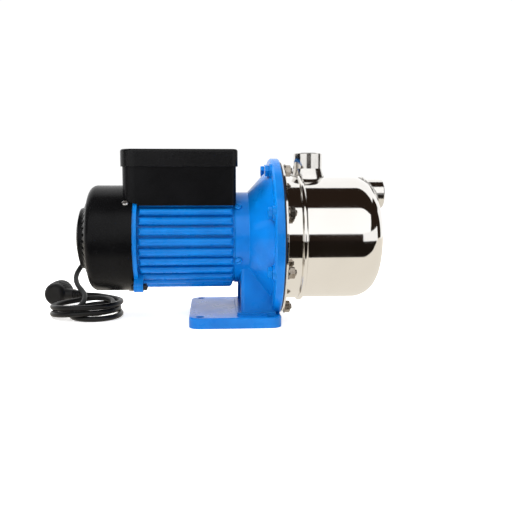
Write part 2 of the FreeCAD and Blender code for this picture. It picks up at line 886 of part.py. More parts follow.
def terminal_box_lid():
    rim = shaft_height + box_rim_height
    low, high = rim + gasket_thickness, rim + lid_height
    lid = lid_outer(0, rim, high)
    top = [e for e in lid.Edges if min(v.Point.z for v in e.Vertexes) > high - 0.01]
    lid = lid.makeFillet(lid_corner_edge, top)
    lid = lid.cut(box_outer(box_wall, low - 2, high - box_wall))
    lid = lid.cut(box_outer(-seat_gap, rim - 1, low))
    for x, y in lid_screw_places():
        column = rod(V(x, y, low), upward, lid_boss_radius, high - low - 1)
        lid = lid.fuse(column.common(lid_outer(box_wall / 2, low, high - 1)))
        lid = lid.cut(rod(V(x, y, low - 1), upward, lid_screw_radius, lid_height + 2))
        recess = V(x, y, high - lid_screw_recess)
        lid = lid.cut(rod(recess, upward, lid_boss_radius - 0.4, lid_screw_recess + 1))
    return single(lid)


def lid_screws():
    seat = shaft_height + box_rim_height + lid_height - lid_screw_recess
    reach = lid_height - lid_screw_recess + lid_screw_grip
    return group([pan_screw(V(x, y, seat), upward * -1, lid_screw_radius, reach)
                  for x, y in lid_screw_places()])


def capacitor_middle():
    low = box_floor_z() + box_wall
    side = box_width / 2 - box_wall - capacitor_side_room - clip_band - capacitor_radius
    return V(-capacitor_front_room - capacitor_length, side, low + clip_base + capacitor_radius)


def run_capacitor():
    start = capacitor_middle()
    can = turned([(0, 0), (0, capacitor_radius - 2), (2, capacitor_radius),
                  (capacitor_length - 4, capacitor_radius), (capacitor_length - 3, capacitor_radius - 1.5),
                  (capacitor_length, capacitor_radius - 1.5), (capacitor_length, 0)], start)
    for y in (-6, 6):
        tag = block((capacitor_length, capacitor_length + 7), (y - 3, y + 3), (-0.4, 0.4))
        can = can.fuse(placed(tag, start, along_x))
    return can


def capacitor_clip():
    """A spring band round the capacitor on a foot that is screwed to the box floor."""
    start = capacitor_middle() + along_x * (capacitor_length - clip_width) / 2
    band = ring(0, clip_width, capacitor_radius + fit_gap, capacitor_radius + clip_band, start)
    opening = block((-1, clip_width + 1), (-9, 9), (2, capacitor_radius + 5))
    band = band.cut(placed(opening, start, along_x))
    foot = block((0, clip_width), (-10, 10), (-capacitor_radius - clip_base, -capacitor_radius - seat_gap))
    cradle = placed(foot, start, along_x).cut(rod(start, along_x, capacitor_radius + fit_gap, clip_width))
    return single(band.fuse(cradle))


def block_middle_y():
    return block_side_room + box_wall + block_width / 2 - box_width / 2


def terminal_block():
    low = box_floor_z() + box_wall
    x, y = block_rear_x, block_middle_y()
    body = block((x, x + block_length), (y - block_width / 2, y + block_width / 2), (low, low + block_height))
    for index in range(block_poles):
        way = x + block_length * (index + 0.5) / block_poles
        for side in (-1, 1):
            screw_hole = V(way, y + side * block_width / 4, low + block_height - 4)
            body = body.cut(rod(screw_hole, upward, 2.6, 5))
        wire_way = V(way, y - block_width / 2 - 1, low + 0.4 * block_height)
        body = body.cut(rod(wire_way, along_y, 2.2, block_width + 2))
    return body


def terminal_screws():
    low = box_floor_z() + box_wall
    x, y = block_rear_x, block_middle_y()
    screws = []
    for index in range(block_poles):
        way = x + block_length * (index + 0.5) / block_poles
        for side in (-1, 1):
            place = V(way, y + side * block_width / 4, low + block_height - 4)
            screw = rod(place, upward, 2.5, 2.5)
            screws.append(screw.cut(block((way - 3, way + 3), (place.y - 0.4, place.y + 0.4),
                                          (place.z + 1.5, place.z + 3))))
    return group(screws)


# Cable gland, cord and plug

def gland_place():
    return V(-gland_from_front, box_width / 2, shaft_height + gland_height)


def cable_gland():
    body = ring(-gland_body_length, gland_flange + gland_body_length, cord_radius + seat_gap,
                gland_thread_radius - fit_gap, gland_place(), along_y)
    collar = hexagon(gland_place(), along_y, gland_hex_radius, gland_flange)
    collar = collar.cut(rod(gland_place() - along_y, along_y, gland_thread_radius - 1, gland_flange + 2))
    return single(body.fuse(collar))


def gland_lock_nut():
    start = gland_place() - along_y * (box_wall + gland_nut_height)
    nut = hexagon(start, along_y, gland_hex_radius, gland_nut_height)
    return nut.cut(rod(start - along_y, along_y, gland_thread_radius, gland_nut_height + 2))


def gland_cap():
    bore, mouth = gland_thread_radius, cord_radius + 1.2
    grip = gland_flange + gland_body_length
    cap = hexagon(gland_place() + along_y * gland_flange, along_y, gland_hex_radius - 0.6, gland_body_length)
    dome = turned([(grip, 0), (grip, gland_hex_radius - 1.6),
                   (grip + 0.6 * dome_length, 0.86 * gland_hex_radius, grip + dome_length, mouth + 1.6),
                   (grip + dome_length, 0)], gland_place(), along_y)
    cap = cap.fuse(dome)
    cap = cap.cut(rod(gland_place(), along_y, bore, grip))
    return single(cap.cut(rod(gland_place(), along_y, mouth, grip + dome_length + 1)))


def relief_start():
    return gland_place() + along_y * (gland_flange + gland_body_length)


def cord_strain_relief():
    """A tapered rubber sleeve that leaves the gland with the cord."""
    return turned([(0, cord_radius), (relief_length, cord_radius), (relief_length, cord_radius + 0.9),
                   (dome_length + 1, cord_radius + 1.1), (0, cord_radius + 1.1)], relief_start(), along_y)


def cord_lead_points():
    """From the strain relief, down behind the motor and into the loose turns on the floor."""
    exit_point = relief_start() + along_y * relief_length
    return [exit_point, V(-105, 113, 170), V(-115, 136, 156), V(-136, 149, 131), V(-163, 148, 104),
            V(-190, 136, 81), V(-211, 117, 61), V(-222, 95, 44), V(-216, 74, 30), V(-203, 56, 20)]


def cord_tail_points():
    """From the loose turns to the plug."""
    return [V(-171, 59, 15), V(-189, 73.8, plug_radius), V(-207, 79, plug_radius)]


def cord_radii(points):
    """The bend radius at each inner point of a route."""
    radii = []
    for before, here, after in zip(points, points[1:], points[2:]):
        shorter = min((here - before).Length, (after - here).Length)
        half_turn = (here - before).getAngle(after - here) / 2
        radii.append(cord_run_share * shorter / math.tan(half_turn))
    return radii


def cord_tube(points):
    """A round tube on straight runs joined by tangent arcs."""
    edges = []
    start = points[0]
    for before, here, after, radius in zip(points, points[1:], points[2:], cord_radii(points)):
        way_in = (here - before).normalize()
        way_out = (after - here).normalize()
        half_turn = way_in.getAngle(way_out) / 2
        tangent = radius * math.tan(half_turn)
        first, last = here - way_in * tangent, here + way_out * tangent
        bisector = (way_out - way_in).normalize()
        middle = here + bisector * (radius / math.cos(half_turn) - radius)
        edges.append(Part.LineSegment(start, first).toShape())
        edges.append(Part.Arc(first, middle, last).toShape())
        start = last
    edges.append(Part.LineSegment(start, points[-1]).toShape())
    path = Part.Wire(edges)
    circle = Part.Wire(Part.makeCircle(cord_radius, points[0], points[1] - points[0]))
    tube = path.makePipeShell([circle], True, True)
    section = math.pi * cord_radius ** 2
    radii = ", ".join(f"{radius:.0f}" for radius in cord_radii(points))
    print(f"cord length {path.Length:.0f} mm, radii {radii} mm, "
          f"volume share {tube.Volume / (section * path.Length):.3f}")
    return tube


def power_cord():
    return cord_tube(cord_lead_points())


def power_cord_tail():
    return cord_tube(cord_tail_points())


def power_cord_coil():
    """The outer shape of the loose turns that lie on the floor."""
    inner, outer, height, edge = coil_inner, coil_outer, coil_height, coil_edge
    cut = edge * (1 - math.sqrt(0.5))
    return turned([(0, inner + edge), (cut, inner + cut, edge, inner), (height - edge, inner),
                   (height - cut, inner + cut, height, inner + edge), (height, outer - edge),
                   (height - cut, outer - cut, height - edge, outer), (edge, outer),
                   (cut, outer - cut, 0, outer - edge)], V(coil_x, coil_y, 0), upward)


def plug_way():
    """The level direction in which the cord leaves the plug."""
    before, end = cord_tail_points()[-2:]
    return (before - end).normalize()


def plug_facing():
    """The level direction in which the pins point; the plug lies on its rim."""
    return upward.cross(plug_way())


def plug_middle():
    """The point on the plug's axis where the cord's line meets it."""
    return cord_tail_points()[-1] - plug_way() * (plug_radius + plug_sleeve_length)


def plug_place():
    return plug_middle() - plug_facing() * plug_exit_depth


def plug_body():
    body = turned([(0, 0), (0, 0.62 * plug_radius), (2.5, 0.8 * plug_radius, 9, 0.92 * plug_radius),
                   (plug_height - 2, plug_radius), (plug_height, plug_radius - 1.5),
                   (plug_height, 0)], plug_place(), plug_facing())
    rear = plug_radius - 4
    sleeve_start = plug_middle() + plug_way() * rear
    length = plug_sleeve_length + plug_radius - rear
    sleeve = turned([(0, 0), (0, 8.0), (0.35 * length, 7.0), (length, cord_radius + 1.3),
                     (length, 0)], sleeve_start, plug_way())
    for index in range(4):
        start = 0.45 * length + 3.4 * index
        sleeve = sleeve.cut(ring(start, start + 1.5, cord_radius + 1.0, 9, sleeve_start, plug_way()))
    plug = body.fuse(sleeve)
    for pin in pin_places():
        plug = plug.cut(rod(pin - plug_facing() * pin_root, plug_facing(), pin_radius, pin_root + 1))
    return single(plug)


def pin_places():
    top = plug_place() + plug_facing() * plug_height
    return [top + plug_way() * (side * pin_spacing / 2) for side in (-1, 1)]


def plug_pins():
    pins = []
    for pin in pin_places():
        pins.append(turned([(-pin_root, 0), (-pin_root, pin_radius), (pin_length - 1.5, pin_radius),
                            (pin_length, 0.5 * pin_radius), (pin_length, 0)], pin, plug_facing()))
    return group(pins)


# Motor bracket: collar, cone, flange, leg and foot

def cone_outside(inset):
    """The bracket's round outside as a solid, without its flange."""
    return turned([(0, 0), (0, collar_radius - inset), (collar_length, collar_radius - inset),
                   (flange_back, cone_top_radius - inset), (flange_face, cone_top_radius - inset),
                   (flange_face, 0)])


def bracket_casting():
    wall_front = spigot_length + bracket_wall
    boss = front_bearing_radius + boss_wall
    cone_in, collar_in = cone_top_radius - cone_wall, collar_radius - cone_wall
    groove_x = front_bearing_x - circlip_thickness - 0.1
    casting = turned([(0, spigot_radius + fit_gap), (0, collar_radius - 1), (1, collar_radius),
                      (collar_length, collar_radius), (flange_back, cone_top_radius),
                      (flange_back, flange_radius - flange_rim_round),
                      (flange_back + flange_rim_round, flange_radius),
                      (flange_face - 1, flange_radius), (flange_face, flange_radius - 1),
                      (flange_face, cover_radius + seat_gap), (cover_face, cover_radius + seat_gap),
                      (cover_face, cone_in), (flange_back - 1, cone_in),
                      (collar_length + 3, collar_in), (wall_front, collar_in - 3),
                      (wall_front, shaft_hole_radius), (spigot_length, shaft_hole_radius),
                      (spigot_length, front_bearing_radius), (front_bearing_x, front_bearing_radius),
                      (front_bearing_x, front_bearing_radius + 1.2), (groove_x, front_bearing_radius + 1.2),
                      (groove_x, front_bearing_radius), (front_boss_x, front_bearing_radius),
                      (front_boss_x, boss - 1), (spigot_length, boss + 1),
                      (spigot_length, spigot_radius + fit_gap)])
    for angle in flange_bolt_angles():
        boss_place = on_shaft(flange_back - bolt_boss_height, bolt_circle, angle)
        pillar = rod(boss_place, along_x, bolt_boss_radius, bolt_boss_height + 1)
        casting = casting.fuse(pillar.common(shaft_rod(0, flange_face, flange_radius)).cut(cone_outside(3)))
    return casting


def trapezoid(x_range, top_z, bottom_z, top_width, bottom_width):
    corners = [V(x_range[0], -bottom_width / 2, bottom_z), V(x_range[0], bottom_width / 2, bottom_z),
               V(x_range[0], top_width / 2, top_z), V(x_range[0], -top_width / 2, top_z)]
    return Part.Face(Part.makePolygon(corners + corners[:1])).extrude(along_x * (x_range[1] - x_range[0]))


def bracket_leg():
    top_z = shaft_height - leg_top_drop
    leg = trapezoid((leg_rear, leg_front), top_z, foot_thickness - 1, leg_top_width, leg_bottom_width)
    upright = [e for e in leg.Edges if abs(e.Vertexes[0].Point.x - e.Vertexes[-1].Point.x) < 0.01
               and abs(e.Vertexes[0].Point.x - leg_rear) < 0.01
               and abs(e.Vertexes[0].Point.z - e.Vertexes[-1].Point.z) > 1]
    leg = leg.makeFillet(leg_edge_round, upright)
    hollow = trapezoid((leg_rear - 1, leg_front - leg_wall), top_z + 1, foot_thickness + leg_step,
                       leg_top_width - 2 * leg_wall, leg_bottom_width - 2 * leg_wall)
    rib = block((leg_rear + leg_wall, leg_front - leg_wall + 1), (-leg_wall / 2, leg_wall / 2),
                (foot_thickness, top_z))
    leg = leg.cut(hollow).fuse(rib)
    return leg.cut(cone_outside(3))


def foot_hole_places():
    return [(sx * foot_hole_spacing_x / 2, sy * foot_hole_spacing_y / 2) for sx in (-1, 1) for sy in (-1, 1)]


def bracket_foot():
    foot = rounded_plate((-foot_length / 2, foot_length / 2), (-foot_width / 2, foot_width / 2),
                         (0, foot_thickness), foot_corner, foot_corner)
    top = [e for e in foot.Edges if min(v.Point.z for v in e.Vertexes) > foot_thickness - 0.01]
    foot = foot.makeFillet(foot_edge_round, top)
    step = rounded_plate((leg_rear - leg_step_margin, leg_front),
                         (-leg_bottom_width / 2 - leg_step_margin, leg_bottom_width / 2 + leg_step_margin),
                         (foot_thickness - 1, foot_thickness + leg_step), leg_step_margin, 1)
    return foot.fuse(step)


def motor_bracket():
    bracket = bracket_casting().fuse(bracket_leg())
    bracket = bracket.fuse(bracket_foot().cut(cone_outside(3)))
    for angle in flange_bolt_angles():
        hole = on_shaft(flange_back - bolt_boss_height - 20, bolt_circle, angle)
        bracket = bracket.cut(rod(hole, along_x, flange_bolt_radius + seat_gap, 60))
        relief = on_shaft(flange_back - bolt_boss_height - bolt_head_room, bolt_circle, angle)
        bracket = bracket.cut(rod(relief, along_x, bolt_boss_radius, bolt_head_room))
    for x, y in foot_hole_places():
        bracket = bracket.cut(rod(V(x, y, -1), upward, foot_hole_radius, foot_thickness + leg_step + 2))
    for angle in bracket_screw_angles:
        hole = on_shaft(bracket_screw_x, housing_bore, angle)
        bracket = bracket.cut(rod(hole, radial(angle), bracket_screw_radius, 20))
    weep = V(collar_length + 10, 2 * leg_wall, shaft_height - cone_top_radius + 6)
    bracket = bracket.cut(rod(weep, upward, weep_radius, cone_top_radius - collar_radius + 14))
    return single(bracket)


def bracket_screws():
    """Radial screws that hold the housing's spigot in the bracket's collar."""
    screws = []
    for angle in bracket_screw_angles:
        seat = on_shaft(bracket_screw_x, collar_radius, angle)
        reach = collar_radius - housing_bore - 1.5
        screws.append(pan_screw(seat, radial(angle) * -1, bracket_screw_radius, reach))
    return group(screws)


def flange_bolt_angles():
    return around(flange_bolt_count, 180.0 / flange_bolt_count)


def flange_bolts():
    seat_x = flange_back - bolt_boss_height
    length = bolt_seat_x - seat_x + washer_thickness + nut_height + 2
    return group([hex_bolt(on_shaft(seat_x, bolt_circle, angle), along_x, flange_bolt_radius, length)
                  for angle in flange_bolt_angles()])


def flange_washers():
    return group([ring(0, washer_thickness, flange_bolt_radius + seat_gap, 2 * flange_bolt_radius,
                       on_shaft(bolt_seat_x, bolt_circle, angle)) for angle in flange_bolt_angles()])


def flange_nuts():
    nuts = []
    for angle in flange_bolt_angles():
        start = on_shaft(bolt_seat_x + washer_thickness, bolt_circle, angle)
        nut = hexagon(start, along_x, hex_share * flange_bolt_radius, nut_height)
        nuts.append(nut.cut(rod(start, along_x, flange_bolt_radius, nut_height)))
    return group(nuts)


# Wet end: seal, casing cover, body and ports

def water_slinger():
    """A rubber disc on the shaft that throws off any leak."""
    start = spigot_length + bracket_wall + 3
    bore, end = seal_journal + fit_gap, start + slinger_length
    return turned([(start, bore), (end, bore), (end, seal_journal + 3),
                   (start + slinger_disc + 0.5, seal_journal + 4), (start + slinger_disc, slinger_radius),
                   (start, slinger_radius)])


def casing_cover():
    cup_x = cover_face - cover_hub_length
    sheet = cover_thickness
    return turned([(flange_face, cover_radius), (cover_face, cover_radius),
                   (cover_face, cover_hub_radius + sheet), (cup_x, cover_hub_radius + sheet),
                   (cup_x, shaft_hole_radius),
                   (cup_x + sheet, shaft_hole_radius), (cup_x + sheet, cover_hub_radius),
                   (flange_face, cover_hub_radius)])


def seal_seat():
    start = cover_face - cover_hub_length + cover_thickness
    return ring(start, seal_face_x, seal_journal + 1, cover_hub_radius - fit_gap)


def seal_head():
    start = seal_face_x + seal_face_gap
    head = turned([(start, seal_journal + 0.6), (start, 12.5), (start + 2.5, 12.5), (start + 2.5, 15.0),
                   (start + seal_head_length, 15.0), (start + seal_head_length, seal_journal + fit_gap),
                   (start + 2, seal_journal + fit_gap)])
    return head


def seal_spring():
    """The seal's coil spring, between the seal head and the impeller hub."""
    start = seal_face_x + seal_face_gap + seal_head_length
    length = impeller_key_x - start
    pitch = (length - 2 * spring_wire - seat_gap) / spring_turns
    helix = Part.makeHelix(pitch, pitch * spring_turns, spring_coil_radius)
    section = []
    for side in range(spring_sides + 1):
        turn = 2 * math.pi * side / spring_sides
        section.append(V(spring_coil_radius + spring_wire * math.cos(turn), 0, spring_wire * math.sin(turn)))
    coil = Part.Wire(helix).makePipeShell([Part.makePolygon(section)], True, False)
    coil.rotate(V(0, 0, 0), along_y, 90)
    coil.translate(on_shaft(start + spring_wire + seat_gap / 2))
    return coil


def impeller():
    back, front = impeller_key_x + key_length, impeller_front_shroud_x
    hub = shaft_rod(impeller_key_x, front, impeller_hub_radius)
    wheel = hub.fuse(turned([(back - impeller_shroud, 0), (back, 0), (back, impeller_radius),
                             (back - impeller_shroud, impeller_radius)]))
    shroud = turned([(front, impeller_eye + 1.5), (front, impeller_radius),
                     (front + impeller_shroud, impeller_radius),
                     (front + impeller_shroud, impeller_eye + impeller_shroud),
                     (front + impeller_shroud + impeller_neck, impeller_eye + impeller_shroud),
                     (front + impeller_shroud + impeller_neck, impeller_eye),
                     (front + 3, impeller_eye)])
    wheel = wheel.fuse(shroud)
    for angle in around(impeller_blades):
        wheel = wheel.fuse(impeller_blade(back - 0.5, front + 0.5, angle))
    bore = shaft_rod(impeller_key_x - 1, front + 1, seal_journal + fit_gap)
    return single(wheel.cut(bore).cut(key_space()))


def impeller_blade(start, end, angle):
    """One blade, a backward curved wall between the hub and the rim."""
    inner, outer = impeller_hub_radius - 1, impeller_radius - 0.4
    middle = 0.5 * (inner + outer)
    sides = []
    for offset in (-impeller_blade_thickness / 2, impeller_blade_thickness / 2):
        sides.append([V(start, inner, offset), V(start, middle, offset + 9),
                      V(start, outer * 0.86, offset + 26)])
    low = Part.Arc(*sides[0]).toShape()
    tip = Part.makeLine(sides[0][2], sides[1][2])
    high = Part.Arc(sides[1][2], sides[1][1], sides[1][0]).toShape()
    root = Part.makeLine(sides[1][0], sides[0][0])
    blade = Part.Face(Part.Wire([low, tip, high, root])).extrude(along_x * (end - start))
    blade.rotate(V(0, 0, 0), along_x, angle)
    blade.translate(V(0, 0, shaft_height))
    return blade


def impeller_key():
    return block((impeller_key_x, impeller_key_x + key_length),
                 (-key_width / 2 + fit_gap, key_width / 2 - fit_gap),
                 (shaft_height + seal_journal - key_sink, shaft_height + seal_journal + key_sink - fit_gap))


def impeller_nut():
    nut = hexagon(on_shaft(impeller_front_x), along_x, hex_share * nut_thread_radius, impeller_nut_height)
    flange = shaft_rod(impeller_front_x, impeller_front_x + 1.5, seal_journal + 1.5)
    return single(nut.fuse(flange).cut(shaft_rod(impeller_front_x - 1, shaft_front_x + 2, nut_thread_radius)))


def diffuser():
    """The guide wheel round the impeller, with an eye that takes the ejector."""
    front = flange_face + diffuser_depth
    eye = impeller_eye + impeller_shroud + running_gap
    wall = diffuser_wall
    bowl = turned([(flange_face, diffuser_radius - wall), (flange_face, diffuser_radius),
                   (front - 4, diffuser_radius),
                   (front - 1.2, diffuser_radius - 1.2, front, diffuser_radius - 4), (front, eye),
                   (front - 4, eye), (front - 4, eye + wall), (front - wall, eye + wall),
                   (front - wall, diffuser_radius - 4),
                   (front - wall - 0.5, diffuser_radius - wall - 0.5, front - 4, diffuser_radius - wall)])
    for angle in around(diffuser_vanes):
        vane = block((impeller_key_x, front - wall + 0.5),
                     (impeller_radius + 2, diffuser_radius - wall + 0.5), (-wall / 2, wall / 2))
        vane.rotate(V(0, impeller_radius + 2, 0), along_x, 35)
        vane = vane.common(rod(V(0, 0, 0), along_x, diffuser_radius - 1, 200))
        vane.rotate(V(0, 0, 0), along_x, angle)
        vane.translate(V(0, 0, shaft_height))
        bowl = bowl.fuse(vane)
        window = block((impeller_key_x + 4, front - 6),
                       (diffuser_radius - wall - 1, diffuser_radius + 1), (4, 22))
        window.rotate(V(0, 0, 0), along_x, angle)
        window.translate(V(0, 0, shaft_height))
        bowl = bowl.cut(window)
    return single(bowl)


def ejector_rear_x():
    return flange_face + diffuser_depth


def ejector_front_x():
    return ejector_rear_x() + venturi_length + nozzle_length


def ejector_body():
    """The plastic suction chamber with its branch up to the suction port."""
    rear, front = ejector_rear_x(), ejector_front_x()
    rise = V(0, 0, suction_rise)
    branch_start = front - 2 * branch_radius
    branch = rod(on_shaft(branch_start + branch_radius) + upward * 10, upward, branch_radius,
                 suction_rise - 10)
    elbow = Part.makeSphere(branch_radius, on_shaft(branch_start + branch_radius) + rise)
    arm = rod(on_shaft(branch_start + branch_radius) + rise, along_x, branch_radius, branch_shoulder_x
              - branch_start - branch_radius)
    tip = rod(on_shaft(branch_start + branch_radius) + rise, along_x, port_inner_bore - fit_gap,
              branch_tip_x - branch_start - branch_radius)
    outside = shaft_rod(rear, front, ejector_radius).fuse(branch).fuse(elbow).fuse(arm).fuse(tip)
    chamber = shaft_rod(rear + venturi_flange, front - ejector_wall, ejector_radius - ejector_wall)
    bore = port_inner_bore - ejector_wall
    way_up = rod(on_shaft(branch_start + branch_radius) + upward * 10, upward, bore, suction_rise - 10)
    turn = Part.makeSphere(bore, on_shaft(branch_start + branch_radius) + rise)
    way_out = rod(on_shaft(branch_start + branch_radius) + rise, along_x, bore, 200)
    body = outside.cut(chamber.fuse(way_up).fuse(turn).fuse(way_out))
    body = body.cut(shaft_rod(rear - 1, rear + venturi_flange + 1, venturi_seat_radius))
    groove = ring(0, o_ring_width, port_inner_bore - o_ring_depth, port_inner_bore + 1,
                  on_shaft(branch_tip_x - 2 * o_ring_width) + rise)
    return single(body.cut(groove).cut(shaft_rod(front - ejector_wall - 1, front + 1, nozzle_base - 1)))


def ejector_o_ring():
    middle = branch_tip_x - 2 * o_ring_width
    place = on_shaft(middle) + upward * suction_rise
    return ring(0, o_ring_width, port_inner_bore - o_ring_depth, port_inner_bore - fit_gap, place)


def venturi_tube():
    rear = ejector_rear_x()
    throat = rear + 0.58 * venturi_length
    mouth = rear + venturi_length
    wall = 2.2
    return turned([(rear, venturi_exit), (throat, venturi_throat), (throat + 6, venturi_throat),
                   (mouth, venturi_mouth), (mouth, venturi_mouth + wall), (throat + 6, venturi_throat + wall),
                   (throat, venturi_throat + wall), (rear + venturi_flange, venturi_exit + wall),
                   (rear + venturi_flange, venturi_seat_radius - fit_gap),
                   (rear, venturi_seat_radius - fit_gap)])


def ejector_nozzle():
    front = ejector_front_x()
    tip = front - ejector_wall - nozzle_length
    return turned([(tip, nozzle_tip), (tip, nozzle_tip + 1.6), (front - ejector_wall - 2, nozzle_base),
                   (front - ejector_wall - 2, nozzle_base + 3), (front - ejector_wall, nozzle_base + 3),
                   (front - ejector_wall, nozzle_base - 1 - fit_gap), (front, nozzle_base - 1 - fit_gap),
                   (front, nozzle_base - 3)])


def body_skin(inset):
    """The solid inside the pump body's outer surface, moved inwards by the inset."""
    neck, barrel, bead = neck_radius - inset, barrel_radius - inset, bead_radius - inset
    bead_x = bolt_seat_x + neck_length
    knuckle, crown = knuckle_radius - inset, crown_radius - inset
    centre_r = barrel_radius - knuckle_radius
    crown_centre = barrel_end - math.sqrt((crown_radius - knuckle_radius) ** 2 - centre_r ** 2)
    slope = math.atan2(centre_r, barrel_end - crown_centre)
    middle = (slope + math.pi / 2) / 2
    meet = (crown_centre + crown * math.cos(slope), crown * math.sin(slope))
    half = (crown_centre + crown * math.cos(slope / 2), crown * math.sin(slope / 2))
    return turned([(body_face - 1, 0), (body_face - 1, neck), (bead_x - bead_width / 2, neck),
                   (bead_x, bead, bead_x + bead_width / 2, barrel), (barrel_end, barrel),
                   (barrel_end + knuckle * math.cos(middle), centre_r + knuckle * math.sin(middle), *meet),
                   (*half, crown_centre + crown, 0)])


def pump_body():
    body = body_skin(0)
    body = body.fuse(shaft_rod(body_face, bolt_seat_x, body_flange_radius))
    body = body.cut(body_skin(body_wall)).cut(shaft_rod(body_face - 2, body_face, body_flange_radius + 1))
    for angle in flange_bolt_angles():
        hole = on_shaft(body_face - 1, bolt_circle, angle)
        body = body.cut(rod(hole, along_x, flange_bolt_radius + seat_gap, 5))
    outlet = V(discharge_x, 0, shaft_height + barrel_radius / 2)
    body = body.cut(rod(outlet, upward, port_radius, barrel_radius))
    return single(body.cut(rod(on_shaft(barrel_end - 10) + upward * suction_rise, along_x, port_radius, 60)))


def body_gasket():
    gasket = ring(flange_face, body_face, neck_radius, body_flange_radius)
    for angle in flange_bolt_angles():
        hole = on_shaft(flange_face - 1, bolt_circle, angle)
        gasket = gasket.cut(rod(hole, along_x, flange_bolt_radius + seat_gap, 5))
    return gasket


def port(mouth, direction, length):
    """A threaded port that passes through the body's wall, with a weld fillet at its foot."""
    inner = mouth - direction * length
    collar = turned([(0, port_inner_bore), (0, port_radius), (length - 1, port_radius),
                     (length, port_radius - 1), (length, port_bore),
                     (length - port_thread_depth, port_bore),
                     (length - port_thread_depth, port_inner_bore)], inner, direction)
    weld = turned([(0, port_radius - 1), (0, port_radius + weld_width + 1),
                   (length - port_reach, port_radius),
                   (length - port_reach, port_radius - 1)], inner, direction)
    return single(collar.fuse(weld.cut(body_skin(0))))


def discharge_port():
    mouth = V(discharge_x, 0, shaft_height + discharge_top)
    return port(mouth, upward, discharge_top - barrel_radius + port_sink)


def suction_port():
    return port(on_shaft(suction_end) + upward * suction_rise, along_x, suction_end - suction_inner_x)


sub_parts = [
    fan_cover, fan_cover_screws, cooling_fan, fan_clip, rear_end_shield, ear_bolts, shield_screws,
    wave_spring, rear_bearing_outer_race, rear_bearing_inner_race, rear_bearing_balls,
    motor_housing, stator_core, stator_windings, rotor_core, motor_shaft,
    front_bearing_outer_race, front_bearing_inner_race, front_bearing_balls, bearing_circlip,
    terminal_box, box_screws, lid_gasket, terminal_box_lid, lid_screws, run_capacitor, capacitor_clip,
    terminal_block, terminal_screws, cable_gland, gland_lock_nut, gland_cap, cord_strain_relief,
    power_cord, power_cord_coil, power_cord_tail, plug_body, plug_pins,
    motor_bracket, bracket_screws, flange_bolts, flange_washers, flange_nuts,
    water_slinger, casing_cover, seal_seat, seal_head, seal_spring,
    impeller, impeller_key, impeller_nut, diffuser, ejector_body, ejector_o_ring, venturi_tube,
    ejector_nozzle, body_gasket, pump_body, discharge_port, suction_port,
]
os.makedirs("parts", exist_ok=True)
for make in sub_parts:
    make().exportStep(f"parts/{make.__name__}.step")
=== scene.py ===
import json
import math

import bmesh
import bpy
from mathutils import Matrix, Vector


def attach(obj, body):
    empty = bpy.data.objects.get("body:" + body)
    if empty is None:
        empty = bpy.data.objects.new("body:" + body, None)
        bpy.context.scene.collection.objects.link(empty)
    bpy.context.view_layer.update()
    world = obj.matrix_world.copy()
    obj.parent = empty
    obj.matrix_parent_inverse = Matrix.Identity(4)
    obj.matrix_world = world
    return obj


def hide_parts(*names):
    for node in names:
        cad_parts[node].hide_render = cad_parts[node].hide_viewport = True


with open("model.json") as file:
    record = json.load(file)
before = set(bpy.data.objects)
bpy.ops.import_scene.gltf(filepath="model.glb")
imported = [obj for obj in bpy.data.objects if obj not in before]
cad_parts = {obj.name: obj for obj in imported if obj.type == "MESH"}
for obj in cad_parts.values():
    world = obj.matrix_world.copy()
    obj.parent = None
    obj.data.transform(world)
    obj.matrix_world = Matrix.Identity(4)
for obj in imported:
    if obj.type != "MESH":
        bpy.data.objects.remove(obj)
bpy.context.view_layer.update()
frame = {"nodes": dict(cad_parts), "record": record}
print("frame loaded")

mm = 0.001

# Camera, at the photograph's viewing angle
viewSettings = {
    "display": "Standard",
    "place": (-0.030, -0.860, 0.178),
    "aim": (0.0295, 0.0, 0.0793),
    "lens": 46.8,
    "sensor": 36.0,
    "nearest": 0.01,
}


def makeCamera(settings):
    data = bpy.data.cameras.new("pumpCamera")
    data.lens = settings["lens"]
    data.sensor_width = settings["sensor"]
    data.clip_start = settings["nearest"]
    camera = bpy.data.objects.new("pumpCamera", data)
    camera.location = settings["place"]
    way = Vector(settings["aim"]) - Vector(settings["place"])
    camera.rotation_euler = way.to_track_quat("-Z", "Y").to_euler()
    bpy.context.collection.objects.link(camera)
    bpy.context.scene.camera = camera
    bpy.context.scene.view_settings.view_transform = settings["display"]


makeCamera(viewSettings)
print("camera set")


# Power cord, in millimetres: its lead, the fall and the loose turns on the floor, and the tail to the plug
cordSizes = {
    "radius": 3.5,
    "length": 1290,
    "lead": [(-104, 90, 172), (-105, 113, 170), (-115, 136, 156), (-136, 149, 131), (-163, 148, 104),
             (-190, 136, 81), (-211, 117, 61), (-222, 95, 44), (-216, 74, 32), (-203, 56, 24.5)],
    "fall": [(-199.5, 43.5), (-201.5, 30.5), (-208.5, 17), (-210.5, 2.5), (-205, -12), (-194, -22),
             (-179.5, -26), (-165, -22.5), (-153.5, -12), (-148, 2), (-148, 17)],
    "fallHeights": (18.5, 12.5, 7.2, 4.2),  # of the first points, before the cord lies on the floor
    "tail": [(-173, 60, 17.5), (-189, 73.8, 17.5), (-207, 79, 17.5)],
    "turnCentre": (-193, 19),
    "firstAngle": 28,
    "step": 30,  # degrees from one point of the turns to the next
    "steps": 37,
    "reach": 40.5,
    "drift": 6.0,  # how much the turns grow and shrink
    "rate": 0.21,
    "phase": 0.6,
    "wobble": 0.3,
    "wobbleRate": 2.1,
    "sway": 1.5,  # how far the middle of the turns wanders
    "swayRate": 0.17,
    "swayAcross": 0.6,
    "clear": 7.25,  # from one stretch's middle line to the next
    "lift": 0.1,
    "parts": 5,  # places that are tried in each step
    "smoothness": 10,
}


